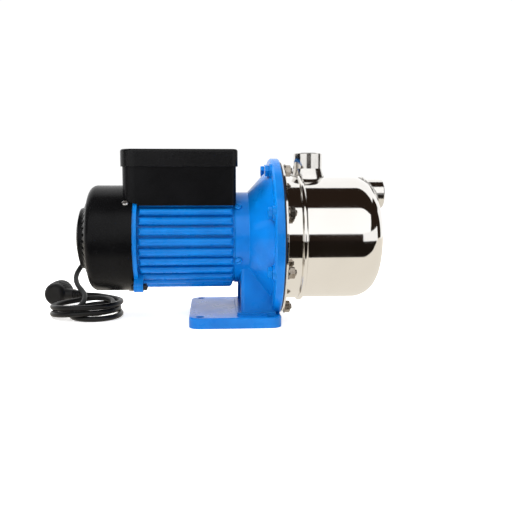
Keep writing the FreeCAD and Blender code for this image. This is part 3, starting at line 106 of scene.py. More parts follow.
def turnPlace(sizes, index):
    turn = math.radians(sizes["firstAngle"] + index * sizes["step"])
    reach = sizes["reach"] + sizes["drift"] * math.sin(sizes["rate"] * index + sizes["phase"])
    reach += sizes["wobble"] * math.sin(sizes["wobbleRate"] * index)
    sway = sizes["sway"] * math.sin(sizes["swayRate"] * index)
    x, y = sizes["turnCentre"]
    return x + sway + reach * math.cos(turn), y - sizes["swayAcross"] * sway + reach * math.sin(turn)


def between(places, along):
    along = min(max(along, 0.0), len(places) - 1.001)  # stays just short of the last place
    first, share = places[int(along)], along - int(along)
    second = places[int(along) + 1]
    return tuple(one + (two - one) * share for one, two in zip(first, second))


# The least height at which a point clears the floor and every stretch laid before it
def restingHeight(sizes, places, index, laid):
    clear, parts = sizes["clear"], sizes["parts"]
    height = sizes["radius"] + sizes["lift"]
    for part in range(1 - parts, parts):
        x, y = between(places, index + part / parts)
        for earlier in laid[:-3 * parts]:  # the last three steps are this stretch itself
            away = math.hypot(x - earlier[0], y - earlier[1])
            if away < clear:
                height = max(height, earlier[2] + math.sqrt(clear * clear - away * away))
    return height


def layTurns(sizes):
    places = sizes["fall"] + [turnPlace(sizes, index) for index in range(sizes["steps"])]
    given, parts = sizes["fallHeights"], sizes["parts"]
    points, laid = [], []
    for index, (x, y) in enumerate(places):
        beside = [restingHeight(sizes, places, index + step, laid) for step in (-1, 1)]
        height = max(restingHeight(sizes, places, index, laid), sum(beside) / 2)
        if index < len(given):
            height = given[index]
        points.append((x, y, height))
        if index >= len(given):
            laid += [between(points, index - 1 + part / parts) for part in range(1, parts + 1)]
    return points


def makeCord(sizes):
    route = sizes["lead"] + layTurns(sizes) + sizes["tail"]
    curve = bpy.data.curves.new("powerLead", "CURVE")
    curve.dimensions = "3D"
    spline = curve.splines.new("NURBS")
    spline.points.add(len(route) - 1)
    for point, place in zip(spline.points, route):
        point.co = (*[value * mm for value in place], 1.0)
        point.radius = sizes["radius"] * mm  # with a bevel depth of 1, so the bounds grow by the real radius
    spline.order_u = 3
    spline.use_endpoint_u = True
    spline.resolution_u = sizes["smoothness"]
    curve.bevel_depth = 1.0
    curve.bevel_resolution = 5
    curve.use_fill_caps = True
    lead = bpy.data.objects.new("powerLead", curve)
    bpy.context.collection.objects.link(lead)
    return lead


lead = makeCord(cordSizes)
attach(lead, "pump_frame")
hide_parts("power_cord", "power_cord_coil", "power_cord_tail")
print("cord laid")


# Patterns that the finishes share
# The wear settings break up the lighter edge colour, which is partly real wear and partly a painted highlight
# on rounded edges
sharedLook = {"toneDetail": 4.0, "glossDetail": 3.0, "wearHighlightScale": 6, "wearHighlightDetail": 5.0, "wearHighlightLeast": 0.25,
              "edgeSamples": 4, "edgeFrom": 0.86, "edgeTo": 0.995}


def startFinish(name, values):
    finish = bpy.data.materials.new(name)
    finish.use_nodes = True
    for socket, value in values.items():
        shaderOf(finish).inputs[socket].default_value = value
    return finish


def addNode(finish, kind, **values):
    node = finish.node_tree.nodes.new("ShaderNode" + kind)
    for name, value in values.items():
        setattr(node, name, value)
    return node


def join(finish, source, target):
    finish.node_tree.links.new(source, target)


def shaderOf(finish):
    return finish.node_tree.nodes["Principled BSDF"]


def objectNoise(finish, scale, detail=3.0, stretch=(1, 1, 1), rough=0.55):
    place = addNode(finish, "TexCoord")
    mapping = addNode(finish, "Mapping")
    mapping.inputs["Scale"].default_value = stretch
    noise = addNode(finish, "TexNoise")
    noise.inputs["Scale"].default_value = scale
    noise.inputs["Detail"].default_value = detail
    noise.inputs["Roughness"].default_value = rough
    join(finish, place.outputs["Object"], mapping.inputs["Vector"])
    join(finish, mapping.outputs["Vector"], noise.inputs["Vector"])
    return noise.outputs["Fac"]


def spread(finish, source, low, high, fromLow=0.3, fromHigh=0.7):
    node = addNode(finish, "MapRange", clamp=True)
    node.inputs["From Min"].default_value = fromLow
    node.inputs["From Max"].default_value = fromHigh
    node.inputs["To Min"].default_value = low
    node.inputs["To Max"].default_value = high
    join(finish, source, node.inputs["Value"])
    return node.outputs["Result"]


# The Mix node's colours are its inputs 6 and 7 and its output 2
def mixColour(finish, share, first, second):
    node = addNode(finish, "Mix", data_type="RGBA")
    if isinstance(first, tuple):
        node.inputs[6].default_value = (*first, 1.0)
    else:
        join(finish, first, node.inputs[6])
    node.inputs[7].default_value = (*second, 1.0)
    join(finish, share, node.inputs[0])
    return node.outputs[2]


def softNormal(finish, radius):
    node = addNode(finish, "Bevel", samples=sharedLook["edgeSamples"])
    node.inputs["Radius"].default_value = radius
    return node.outputs["Normal"]


def bump(finish, height, strength, distance, normal=None):
    node = addNode(finish, "Bump")
    node.inputs["Strength"].default_value = strength
    node.inputs["Distance"].default_value = distance
    join(finish, height, node.inputs["Height"])
    if normal is not None:
        join(finish, normal, node.inputs["Normal"])
    return node.outputs["Normal"]


# One at an edge, where the softened normal leans away from the face's own, and zero on a flat
def edgeShare(finish, normal):
    place = addNode(finish, "NewGeometry")
    dot = addNode(finish, "VectorMath", operation="DOT_PRODUCT")
    join(finish, place.outputs["Normal"], dot.inputs[0])
    join(finish, normal, dot.inputs[1])
    return spread(finish, dot.outputs["Value"], 1.0, 0.0, sharedLook["edgeFrom"], sharedLook["edgeTo"])


# A tone that drifts over the surface, a lighter edge colour that is partly wear and partly painted highlight,
# patches of gloss and a fine grain
def finishWith(finish, look):
    shader, even = shaderOf(finish), (1, 1, 1)
    normal = softNormal(finish, look["edge"]) if look.get("edge") else None
    tone = objectNoise(finish, look["toneScale"], sharedLook["toneDetail"], look.get("toneStretch", even))
    colour = mixColour(finish, spread(finish, tone, 0.0, 1.0), look["dark"], look["light"])
    # Lighter colour along the edges: partly real wear, partly a painted highlight standing in for the light
    # that rounded edges catch
    if look.get("wearAndHighlight"):
        broken = objectNoise(finish, look["toneScale"] * sharedLook["wearHighlightScale"], sharedLook["wearHighlightDetail"])
        edgeWearAndHighlight = addNode(finish, "Math", operation="MULTIPLY")
        join(finish, edgeShare(finish, normal), edgeWearAndHighlight.inputs[0])
        join(finish, spread(finish, broken, sharedLook["wearHighlightLeast"], 1.0), edgeWearAndHighlight.inputs[1])
        colour = mixColour(finish, edgeWearAndHighlight.outputs[0], colour, look["wearAndHighlight"])
    join(finish, colour, shader.inputs["Base Color"])
    patches = objectNoise(finish, look["glossScale"], sharedLook["glossDetail"])
    join(finish, spread(finish, patches, *look["gloss"]), shader.inputs["Roughness"])
    detail, stretch = look.get("grainDetail", 3.0), look.get("grainStretch", even)
    grain = objectNoise(finish, look["grainScale"], detail, stretch)
    join(finish, bump(finish, grain, look["grain"], look["grainDepth"], normal), shader.inputs["Normal"])
    return finish


# Paints, plastics and rubbers
# Each look's edge colour is partly wear and partly a painted highlight
def bluePaint():
    look = {"dark": (0.0005, 0.142, 0.49), "light": (0.001, 0.185, 0.59), "wearAndHighlight": (0.008, 0.33, 0.88),
            "edge": 0.0009, "toneScale": 26, "gloss": (0.24, 0.34), "glossScale": 60,
            "grain": 0.10, "grainDepth": 0.0003, "grainScale": 620, "grainDetail": 2.0}
    values = {"Coat Weight": 0.18, "Coat Roughness": 0.10, "Specular IOR Level": 0.12}
    return finishWith(startFinish("bluePaint", values), look)


def castingPaint():
    look = {"dark": (0.0005, 0.145, 0.51), "light": (0.001, 0.19, 0.62), "wearAndHighlight": (0.008, 0.33, 0.88),
            "edge": 0.0014, "toneScale": 34, "gloss": (0.24, 0.38), "glossScale": 48,
            "grain": 0.12, "grainDepth": 0.0005, "grainScale": 430, "grainDetail": 3.0}
    values = {"Coat Weight": 0.3, "Coat Roughness": 0.08, "Specular IOR Level": 0.12}
    return finishWith(startFinish("castingPaint", values), look)


def coverPlastic():
    look = {"dark": (0.0022, 0.0022, 0.0025), "light": (0.0038, 0.0038, 0.0042),
            "wearAndHighlight": (0.024, 0.024, 0.025), "edge": 0.0008, "toneScale": 30,
            "gloss": (0.20, 0.30), "glossScale": 40,
            "grain": 0.3, "grainDepth": 0.0003, "grainScale": 1100, "grainDetail": 2.0}
    return finishWith(startFinish("coverPlastic", {"Specular IOR Level": 0.11}), look)


def boxPlastic():
    look = {"dark": (0.003, 0.003, 0.0034), "light": (0.005, 0.005, 0.0056), "wearAndHighlight": (0.03, 0.03, 0.032),
            "edge": 0.0010, "toneScale": 24, "gloss": (0.18, 0.27), "glossScale": 36,
            "grain": 0.4, "grainDepth": 0.0004, "grainScale": 760, "grainDetail": 2.5}
    return finishWith(startFinish("boxPlastic", {"Specular IOR Level": 0.11}), look)


def lidPlastic():
    look = {"dark": (0.003, 0.003, 0.0034), "light": (0.0055, 0.0055, 0.006), "wearAndHighlight": (0.035, 0.035, 0.037),
            "edge": 0.0012, "toneScale": 20, "gloss": (0.18, 0.26), "glossScale": 30,
            "grain": 0.4, "grainDepth": 0.0004, "grainScale": 760, "grainDetail": 2.5}
    return finishWith(startFinish("lidPlastic", {"Specular IOR Level": 0.18}), look)


def fanPlastic():
    look = {"dark": (0.012, 0.012, 0.013), "light": (0.022, 0.022, 0.023), "edge": 0.0005,
            "toneScale": 60, "gloss": (0.42, 0.55), "glossScale": 80,
            "grain": 0.2, "grainDepth": 0.0003, "grainScale": 900}
    return finishWith(startFinish("fanPlastic", {}), look)


def glandNylon():
    look = {"dark": (0.012, 0.012, 0.013), "light": (0.02, 0.02, 0.021), "wearAndHighlight": (0.06, 0.06, 0.062),
            "edge": 0.0005, "toneScale": 90, "gloss": (0.32, 0.42), "glossScale": 120,
            "grain": 0.15, "grainDepth": 0.0002, "grainScale": 900}
    return finishWith(startFinish("glandNylon", {}), look)


def blockPlastic():
    look = {"dark": (0.5, 0.49, 0.45), "light": (0.6, 0.59, 0.55), "edge": 0.0004,
            "toneScale": 90, "gloss": (0.4, 0.5), "glossScale": 120,
            "grain": 0.12, "grainDepth": 0.0002, "grainScale": 900}
    return finishWith(startFinish("blockPlastic", {}), look)


def impellerPlastic():
    look = {"dark": (0.42, 0.39, 0.31), "light": (0.55, 0.52, 0.44), "edge": 0.0005,
            "toneScale": 110, "gloss": (0.38, 0.5), "glossScale": 120,
            "grain": 0.25, "grainDepth": 0.0002, "grainScale": 700}
    return finishWith(startFinish("impellerPlastic", {}), look)


def blackRubber():
    look = {"dark": (0.010, 0.010, 0.010), "light": (0.02, 0.02, 0.02), "edge": 0.0004,
            "toneScale": 90, "gloss": (0.55, 0.7), "glossScale": 120,
            "grain": 0.3, "grainDepth": 0.0002, "grainScale": 1200}
    return finishWith(startFinish("blackRubber", {}), look)


def cordRubber():
    look = {"dark": (0.003, 0.003, 0.0033), "light": (0.006, 0.006, 0.0064),
            "toneScale": 60, "gloss": (0.26, 0.38), "glossScale": 90,
            "grain": 0.22, "grainDepth": 0.0002, "grainScale": 1100}
    return finishWith(startFinish("cordRubber", {"Specular IOR Level": 0.25}), look)


def plugRubber():
    look = {"dark": (0.003, 0.003, 0.0033), "light": (0.006, 0.006, 0.0064), "wearAndHighlight": (0.03, 0.03, 0.031),
            "edge": 0.0007, "toneScale": 80, "gloss": (0.32, 0.44), "glossScale": 70,
            "grain": 0.3, "grainDepth": 0.0003, "grainScale": 900}
    return finishWith(startFinish("plugRubber", {"Specular IOR Level": 0.25}), look)


# Metals
def polishedSteel():
    look = {"dark": (0.80, 0.775, 0.74), "light": (0.86, 0.84, 0.81), "edge": 0.0012,
            "toneScale": 9, "gloss": (0.055, 0.10), "glossScale": 14,
            "grain": 0.05, "grainDepth": 0.0002, "grainScale": 1.0, "grainStretch": (1400, 9, 9)}
    return finishWith(startFinish("polishedSteel", {"Metallic": 1.0}), look)


def portSteel():
    look = {"dark": (0.72, 0.70, 0.67), "light": (0.80, 0.78, 0.75), "edge": 0.0006,
            "toneScale": 40, "gloss": (0.10, 0.18), "glossScale": 60,
            "grain": 0.08, "grainDepth": 0.0002, "grainScale": 1.0, "grainStretch": (60, 60, 1500)}
    return finishWith(startFinish("portSteel", {"Metallic": 1.0}), look)


def pressedSheet():
    look = {"dark": (0.55, 0.55, 0.54), "light": (0.66, 0.66, 0.65), "edge": 0.0005,
            "toneScale": 30, "gloss": (0.22, 0.34), "glossScale": 50,
            "grain": 0.12, "grainDepth": 0.0002, "grainScale": 1.0, "grainStretch": (30, 30, 700)}
    return finishWith(startFinish("pressedSheet", {"Metallic": 1.0}), look)


# The edge colours of the plated and oxided fasteners are partly wear and partly a painted highlight
def zincPlate(name, dark, light):
    look = {"dark": dark, "light": light, "wearAndHighlight": (0.78, 0.77, 0.75),
            "edge": 0.0003, "toneScale": 150, "gloss": (0.20, 0.34), "glossScale": 220,
            "grain": 0.25, "grainDepth": 0.0002, "grainScale": 1500}
    return finishWith(startFinish(name, {"Metallic": 1.0}), look)


def blackOxide():
    look = {"dark": (0.012, 0.012, 0.013), "light": (0.03, 0.03, 0.032), "wearAndHighlight": (0.16, 0.15, 0.15),
            "edge": 0.0004, "toneScale": 160, "gloss": (0.26, 0.4), "glossScale": 200,
            "grain": 0.2, "grainDepth": 0.0002, "grainScale": 1400}
    return finishWith(startFinish("blackOxide", {"Metallic": 0.6}), look)


def springSteel():
    look = {"dark": (0.18, 0.19, 0.21), "light": (0.30, 0.31, 0.33), "edge": 0.0002,
            "toneScale": 200, "gloss": (0.25, 0.38), "glossScale": 260,
            "grain": 0.12, "grainDepth": 0.0001, "grainScale": 1800}
    return finishWith(startFinish("springSteel", {"Metallic": 1.0}), look)


def bearingSteel():
    look = {"dark": (0.62, 0.63, 0.65), "light": (0.72, 0.73, 0.75), "edge": 0.0003,
            "toneScale": 120, "gloss": (0.08, 0.16), "glossScale": 160,
            "grain": 0.05, "grainDepth": 0.0001, "grainScale": 1.0, "grainStretch": (1800, 40, 40)}
    return finishWith(startFinish("bearingSteel", {"Metallic": 1.0}), look)


def shaftSteel():
    look = {"dark": (0.5, 0.5, 0.51), "light": (0.64, 0.64, 0.65), "edge": 0.0003,
            "toneScale": 70, "gloss": (0.16, 0.28), "glossScale": 90,
            "grain": 0.14, "grainDepth": 0.0002, "grainScale": 1.0, "grainStretch": (2200, 20, 20)}
    return finishWith(startFinish("shaftSteel", {"Metallic": 1.0}), look)


def coreSteel():
    look = {"dark": (0.13, 0.13, 0.14), "light": (0.30, 0.30, 0.31), "toneScale": 1.0,
            "toneStretch": (2000, 30, 30), "gloss": (0.35, 0.5), "glossScale": 90,
            "grain": 0.5, "grainDepth": 0.0003, "grainScale": 1.0, "grainStretch": (2000, 5, 5)}
    return finishWith(startFinish("coreSteel", {"Metallic": 1.0}), look)


def windingCopper():
    look = {"dark": (0.28, 0.075, 0.02), "light": (0.62, 0.2, 0.06), "toneScale": 1.0,
            "toneStretch": (900, 200, 200), "gloss": (0.2, 0.34), "glossScale": 150,
            "grain": 0.7, "grainDepth": 0.0006, "grainScale": 1.0, "grainStretch": (900, 120, 120)}
    return finishWith(startFinish("windingCopper", {"Metallic": 0.8, "Coat Weight": 0.5}), look)


def terminalBrass():
    look = {"dark": (0.55, 0.36, 0.11), "light": (0.75, 0.53, 0.2), "edge": 0.0002,
            "toneScale": 200, "gloss": (0.2, 0.32), "glossScale": 260,
            "grain": 0.1, "grainDepth": 0.0001, "grainScale": 1700}
    return finishWith(startFinish("terminalBrass", {"Metallic": 1.0}), look)


def pinMetal():
    look = {"dark": (0.62, 0.6, 0.55), "light": (0.74, 0.72, 0.67), "edge": 0.0003,
            "toneScale": 200, "gloss": (0.14, 0.24), "glossScale": 240,
            "grain": 0.08, "grainDepth": 0.0001, "grainScale": 1500}
    return finishWith(startFinish("pinMetal", {"Metallic": 1.0}), look)


def capacitorCan():
    look = {"dark": (0.6, 0.6, 0.61), "light": (0.72, 0.72, 0.73), "edge": 0.0004,
            "toneScale": 50, "gloss": (0.22, 0.32), "glossScale": 70,
            "grain": 0.1, "grainDepth": 0.0002, "grainScale": 1.0, "grainStretch": (12, 900, 900)}
    return finishWith(startFinish("capacitorCan", {"Metallic": 1.0}), look)


# Seal faces
def sealCeramic():
    look = {"dark": (0.78, 0.77, 0.72), "light": (0.86, 0.85, 0.81), "edge": 0.0003,
            "toneScale": 160, "gloss": (0.12, 0.2), "glossScale": 160,
            "grain": 0.05, "grainDepth": 0.0001, "grainScale": 1500}
    return finishWith(startFinish("sealCeramic", {}), look)


def sealCarbon():
    look = {"dark": (0.03, 0.03, 0.033), "light": (0.06, 0.06, 0.065), "edge": 0.0003,
            "toneScale": 160, "gloss": (0.3, 0.42), "glossScale": 200,
            "grain": 0.12, "grainDepth": 0.0001, "grainScale": 1500}
    return finishWith(startFinish("sealCarbon", {}), look)


finishes = {
    "blue_paint": bluePaint(),
    "black_cover_plastic": coverPlastic(),
    "black_box_plastic": boxPlastic(),
    "black_lid_plastic": lidPlastic(),
    "fan_plastic": fanPlastic(),
    "gland_plastic": glandNylon(),
    "block_plastic": blockPlastic(),
    "impeller_plastic": impellerPlastic(),
    "black_rubber": blackRubber(),
    "cord_rubber": cordRubber(),
    "plug_rubber": plugRubber(),
    "polished_stainless": polishedSteel(),
    "port_stainless": portSteel(),
    "stainless_sheet": pressedSheet(),
    "zinc_screws": zincPlate("zincScrew", (0.6, 0.58, 0.56), (0.78, 0.77, 0.75)),
    "zinc_bolts": zincPlate("zincBolt", (0.26, 0.22, 0.18), (0.44, 0.40, 0.35)),
    "black_bolts": blackOxide(),
    "spring_steel": springSteel(),
    "bearing_steel": bearingSteel(),
    "shaft_steel": shaftSteel(),
    "core_steel": coreSteel(),
    "winding_copper": windingCopper(),
    "terminal_brass": terminalBrass(),
    "plug_pin_metal": pinMetal(),
    "capacitor_can": capacitorCan(),
    "seal_ceramic": sealCeramic(),
    "seal_carbon": sealCarbon(),
}


# The bracket is a rough casting under the same blue, so it has a finish of its own
def dressNodes():
    ownFinish = {"motor_bracket": castingPaint()}
    for part in frame["record"]["subparts"]:
        node = frame["nodes"][part["node"]]
        finish = ownFinish.get(part["node"], finishes[part["material_slot"]])
        if not node.material_slots:
            node.data.materials.append(None)
        for place in node.material_slots:
            place.material = finish


dressNodes()
lead.data.materials.append(finishes["cord_rubber"])
print("finishes laid on")


# Fine pieces that repeat: each unit is shaped once, in millimetres, and Geometry Nodes sets it in place
unitShape = {"merge": 0.002, "sharp": 38, "fineSteps": 48, "steps": 32}


def keepUnit(name, made):
    bmesh.ops.remove_doubles(made, verts=made.verts, dist=unitShape["merge"] * mm)
    bmesh.ops.recalc_face_normals(made, faces=made.faces)
    mesh = bpy.data.meshes.new(name)
    made.to_mesh(mesh)
    made.free()
    mesh.shade_smooth()
    mesh.set_sharp_from_angle(angle=math.radians(unitShape["sharp"]))
    return bpy.data.objects.new(name, mesh)


def skin(made, rows, closed=False):
    grid = [[made.verts.new([value * mm for value in place]) for place in row] for row in rows]
    count = len(grid[0])
    pairs = list(zip(grid, grid[1:] + grid[:1])) if closed else list(zip(grid, grid[1:]))
    for low, high in pairs:
        for step in range(count):
            after = (step + 1) % count
            made.faces.new((low[step], low[after], high[after], high[step]))
    if not closed:
        made.faces.new(list(reversed(grid[0])))
        made.faces.new(grid[-1])


def circleRow(radius, level, steps=unitShape["fineSteps"]):
    turns = [2 * math.pi * step / steps for step in range(steps)]
    return [(radius * math.cos(turn), radius * math.sin(turn), level) for turn in turns]


def roundBar(made, places, steps=unitShape["steps"]):
    skin(made, [circleRow(radius, level, steps) for radius, level in places])


# The corners past the limit fall back by the slope, as a turned chamfer leaves them
def hexRow(corner, level, limit, slope, steps=unitShape["fineSteps"]):
    row = []
    flat = corner * math.cos(math.pi / 6)
    for step in range(steps):
        turn = 2 * math.pi * step / steps
        reach = flat / math.cos((turn % (math.pi / 3)) - math.pi / 6)
        drop = max(0.0, reach - limit) * slope
        row.append((reach * math.cos(turn), reach * math.sin(turn), level - drop))
    return row


hexShape = {"chamferStart": 0.97, "chamfer": 30, "boreBevel": 0.5}


def hexPrism(made, corner, low, high, chamferHigh=False, bore=None):
    limit = hexShape["chamferStart"] * corner * math.cos(math.pi / 6)
    slope = math.tan(math.radians(hexShape["chamfer"]))
    rows = [circleRow(limit, low), hexRow(corner, low, limit, -slope),
            hexRow(corner, high, limit, slope if chamferHigh else 0.0)]
    if chamferHigh:
        rows.append(circleRow(limit, high))
    if bore:
        bevel = hexShape["boreBevel"]
        rows += [circleRow(bore + bevel, high), circleRow(bore, high - bevel), circleRow(bore, low + bevel),
                 circleRow(bore + bevel, low)]
    skin(made, rows, closed=bool(bore))


# A ridge wound round the unit's own line: its profile gives each point's reach and its share of the pitch
def threadRidge(made, profile, start, length, pitch, steps):
    rows = []
    for step in range(int(length / abs(pitch) * steps)):
        turn = 2 * math.pi * step / steps
        level = start + turn / (2 * math.pi) * pitch
        rows.append([(reach * math.cos(turn), reach * math.sin(turn), level + share * pitch)
                     for reach, share in profile])
    skin(made, rows)


studShape = {"root": 1.05, "sunk": 0.05, "overlap": 0.2, "point": 0.6, "runout": 0.8,
             "shares": (0.0, 0.42, 0.52, 0.94), "steps": 24}


def studSurface(made, sizes):
    plain, length, shank, point = sizes["plain"], sizes["length"], sizes["shank"], studShape["point"]
    root = shank - studShape["root"] * sizes["depth"]
    roundBar(made, [(shank, 0.0), (shank, plain)])
    roundBar(made, [(root, plain - studShape["overlap"]), (root, length - point), (root - point, length)])
    inside = root - studShape["sunk"]
    profile = list(zip((inside, shank, shank, inside), studShape["shares"]))
    wound = length - plain - studShape["runout"]
    threadRidge(made, profile, plain, wound, sizes["pitch"], studShape["steps"])


def boltHead(sizes):
    made = bmesh.new()
    hexPrism(made, sizes["corner"], -sizes["head"], -sizes["collar"])
    roundBar(made, [(sizes["collarRadius"], -sizes["collar"]), (sizes["collarRadius"], 0.0)],
             unitShape["fineSteps"])
    roundBar(made, [(sizes["shank"], -studShape["overlap"]), (sizes["shank"], sizes["plain"])])
    return keepUnit("boltHead", made)


def boltStud(sizes):
    made = bmesh.new()
    studSurface(made, sizes)
    return keepUnit("boltStud", made)


def hexNut(sizes):
    made = bmesh.new()
    hexPrism(made, sizes["corner"], 0.0, sizes["nut"], True, sizes["shank"] + sizes["play"])
    return keepUnit("hexNut", made)


def earBolt(sizes):
    made = bmesh.new()
    hexPrism(made, sizes["corner"], -sizes["head"], 0.0)
    studSurface(made, sizes)
    hexPrism(made, sizes["corner"], sizes["grip"], sizes["grip"] + sizes["nut"], True,
             sizes["shank"] + sizes["play"])
    return keepUnit("earBolt", made)


def innerThread(sizes):
    made = bmesh.new()
    wall, crest = sizes["radius"] + sizes["sunk"], sizes["radius"] - sizes["depth"]
    profile = list(zip((wall, crest, crest, wall), sizes["shares"]))
    threadRidge(made, profile, 0.0, sizes["length"], -sizes["pitch"], sizes["steps"])
    return keepUnit("innerThread", made)


def weldDrop(sizes):
    made = bmesh.new()
    drop, rings = sizes["drop"], sizes["rings"]
    turns = [math.pi * step / rings for step in range(rings + 1)]
    roundBar(made, [(drop * math.sin(turn), -drop * math.cos(turn)) for turn in turns], sizes["steps"])
    return keepUnit("weldDrop", made)


def reliefRing(sizes):
    made = bmesh.new()
    rows = []
    for step in range(sizes["sides"]):
        turn = 2 * math.pi * step / sizes["sides"]
        reach = sizes["ring"] + sizes["thick"] * math.cos(turn)
        rows.append(circleRow(reach, sizes["thick"] * math.sin(turn), sizes["steps"]))
    skin(made, rows, closed=True)
    return keepUnit("reliefRing", made)


def gripRidge(sizes):
    made = bmesh.new()
    half, proud = sizes["width"] / 2, sizes["proud"]
    rows = []
    for level, reach, rise in sizes["ends"]:
        root, top = reach - sizes["root"], reach + rise * proud
        shoulder = reach + rise * proud * sizes["shoulder"]
        rows.append([(root, -half, level), (shoulder, -half, level), (top, 0.0, level),
                     (shoulder, half, level), (root, half, level)])
    skin(made, rows)
    return keepUnit("gripRidge", made)


def placingTree():
    tree = bpy.data.node_groups.new("placePieces", "GeometryNodeTree")
    add, link = tree.nodes.new, tree.links.new
    face = tree.interface
    face.new_socket("Geometry", in_out="INPUT", socket_type="NodeSocketGeometry")
    face.new_socket("Unit", in_out="INPUT", socket_type="NodeSocketObject")
    face.new_socket("Finish", in_out="INPUT", socket_type="NodeSocketMaterial")
    face.new_socket("Size", in_out="INPUT", socket_type="NodeSocketFloat").default_value = 1.0
    face.new_socket("Uneven", in_out="INPUT", socket_type="NodeSocketFloat").default_value = 0.0
    face.new_socket("Geometry", in_out="OUTPUT", socket_type="NodeSocketGeometry")
    entry, leave = add("NodeGroupInput"), add("NodeGroupOutput")
    # Each point's own direction, and its turn round that direction
    way, spin = add("GeometryNodeInputNamedAttribute"), add("GeometryNodeInputNamedAttribute")
    way.data_type = "FLOAT_VECTOR"
    way.inputs["Name"].default_value = "way"
    spin.inputs["Name"].default_value = "spin"
    aim, twist, turn = (add("FunctionNodeAlignRotationToVector"), add("FunctionNodeAxisAngleToRotation"),
                        add("FunctionNodeRotateRotation"))
    aim.axis = "Z"
    turn.rotation_space = "LOCAL"
    link(way.outputs[0], aim.inputs["Vector"])
    link(spin.outputs[0], twist.inputs["Angle"])
    link(aim.outputs[0], turn.inputs["Rotation"])
    link(twist.outputs[0], turn.inputs["Rotate By"])
    # Each piece's size, from Size less Uneven to Size plus Uneven
    vary, low, high = add("FunctionNodeRandomValue"), add("ShaderNodeMath"), add("ShaderNodeMath")
    vary.inputs["Seed"].default_value = 11
    low.operation, high.operation = "SUBTRACT", "ADD"
    link(entry.outputs["Size"], low.inputs[0])
    link(entry.outputs["Uneven"], low.inputs[1])
    link(entry.outputs["Size"], high.inputs[0])
    link(entry.outputs["Uneven"], high.inputs[1])
    link(low.outputs[0], vary.inputs[2])
    link(high.outputs[0], vary.inputs[3])
    info, lay = add("GeometryNodeObjectInfo"), add("GeometryNodeInstanceOnPoints")
    real, dress = add("GeometryNodeRealizeInstances"), add("GeometryNodeSetMaterial")
    link(entry.outputs["Unit"], info.inputs["Object"])
    link(entry.outputs["Geometry"], lay.inputs["Points"])
    link(info.outputs["Geometry"], lay.inputs["Instance"])
    link(turn.outputs[0], lay.inputs["Rotation"])
    link(vary.outputs[1], lay.inputs["Scale"])
    link(lay.outputs[0], real.inputs[0])
    link(real.outputs[0], dress.inputs["Geometry"])
    link(entry.outputs["Finish"], dress.inputs["Material"])
    link(dress.outputs[0], leave.inputs[0])
    return tree


placePieces = placingTree()


# Each spot is a place, the direction that the unit faces and its turn in degrees
def setPieces(name, unit, spots, slot, stands=(), size=1.0, uneven=0.0):
    mesh = bpy.data.meshes.new(name)
    mesh.from_pydata([[value * mm for value in place] for place, way, spin in spots], [], [])
    ways = mesh.attributes.new("way", "FLOAT_VECTOR", "POINT")
    for point, (place, way, spin) in zip(ways.data, spots):
        point.vector = way
    spins = mesh.attributes.new("spin", "FLOAT", "POINT")
    for point, (place, way, spin) in zip(spins.data, spots):
        point.value = math.radians(spin)
    made = bpy.data.objects.new(name, mesh)
    bpy.context.collection.objects.link(made)
    bpy.context.collection.objects.link(unit)
    live = made.modifiers.new("placing", "NODES")
    live.node_group = placePieces
    values = {"Unit": unit, "Finish": finishes[slot], "Size": size, "Uneven": uneven}
    for item in placePieces.interface.items_tree:
        if item.in_out == "INPUT" and item.name in values:
            live[item.identifier] = values[item.name]
    graph = bpy.context.evaluated_depsgraph_get()
    solid = bpy.data.meshes.new_from_object(made.evaluated_get(graph))
    made.modifiers.clear()
    made.data = solid
    bpy.data.objects.remove(unit)
    bpy.data.meshes.remove(mesh)
    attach(made, "pump_frame")
    if stands:
        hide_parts(*stands)


shaftHeight = 104.0


def onShaft(x, reach, angle):
    turn = math.radians(angle)
    return (x, reach * math.cos(turn), shaftHeight + reach * math.sin(turn))


flangeSizes = {"circle": 92.0, "count": 8, "seat": 43.0, "nutSeat": 63.1, "headTwist": 17, "nutTwist": 23,
               "corner": 7.4, "head": 5.2, "collar": 0.5, "collarRadius": 5.9598, "shank": 4.0, "plain": 17.0,
               "length": 28.6, "pitch": 1.25, "depth": 0.55, "nut": 6.5, "play": 0.05}


def setFlangeBolts(sizes):
    step = 360 / sizes["count"]
    heads, nuts = [], []
    for index in range(sizes["count"]):
        angle = step * (index + 0.5)
        heads.append((onShaft(sizes["seat"], sizes["circle"], angle), (1, 0, 0), sizes["headTwist"] * index))
        nuts.append((onShaft(sizes["nutSeat"], sizes["circle"], angle), (1, 0, 0), sizes["nutTwist"] * index))
    setPieces("flangeBoltHeads", boltHead(sizes), heads, "blue_paint", stands=("flange_bolts",))
    setPieces("flangeBoltStuds", boltStud(sizes), heads, "zinc_bolts")
    setPieces("flangeNuts", hexNut(sizes), nuts, "zinc_bolts", stands=("flange_nuts",))


earSizes = {"reach": 73.5, "angles": (-50, -130), "rear": -123.0, "twist": 12, "corner": 4.62, "head": 3.25,
            "shank": 2.5, "plain": 4.0, "length": 16.5, "pitch": 0.9, "depth": 0.4, "nut": 4.5, "grip": 11.0,
            "play": 0.05}


def setEarBolts(sizes):
    seats = [(onShaft(sizes["rear"], sizes["reach"], angle), (1, 0, 0), sizes["twist"])
             for angle in sizes["angles"]]
    setPieces("earBolts", earBolt(sizes), seats, "black_bolts", stands=("ear_bolts",))


portSizes = {"radius": 15.15, "depth": 0.85, "sunk": 0.1, "pitch": 2.31, "length": 18.0, "start": 0.6,
             "shares": (0.0, 0.40, 0.52, 0.92), "steps": 40, "dischargeX": 96.0, "dischargeTop": 212.0,
             "suctionX": 193.5, "suctionZ": 160.0}


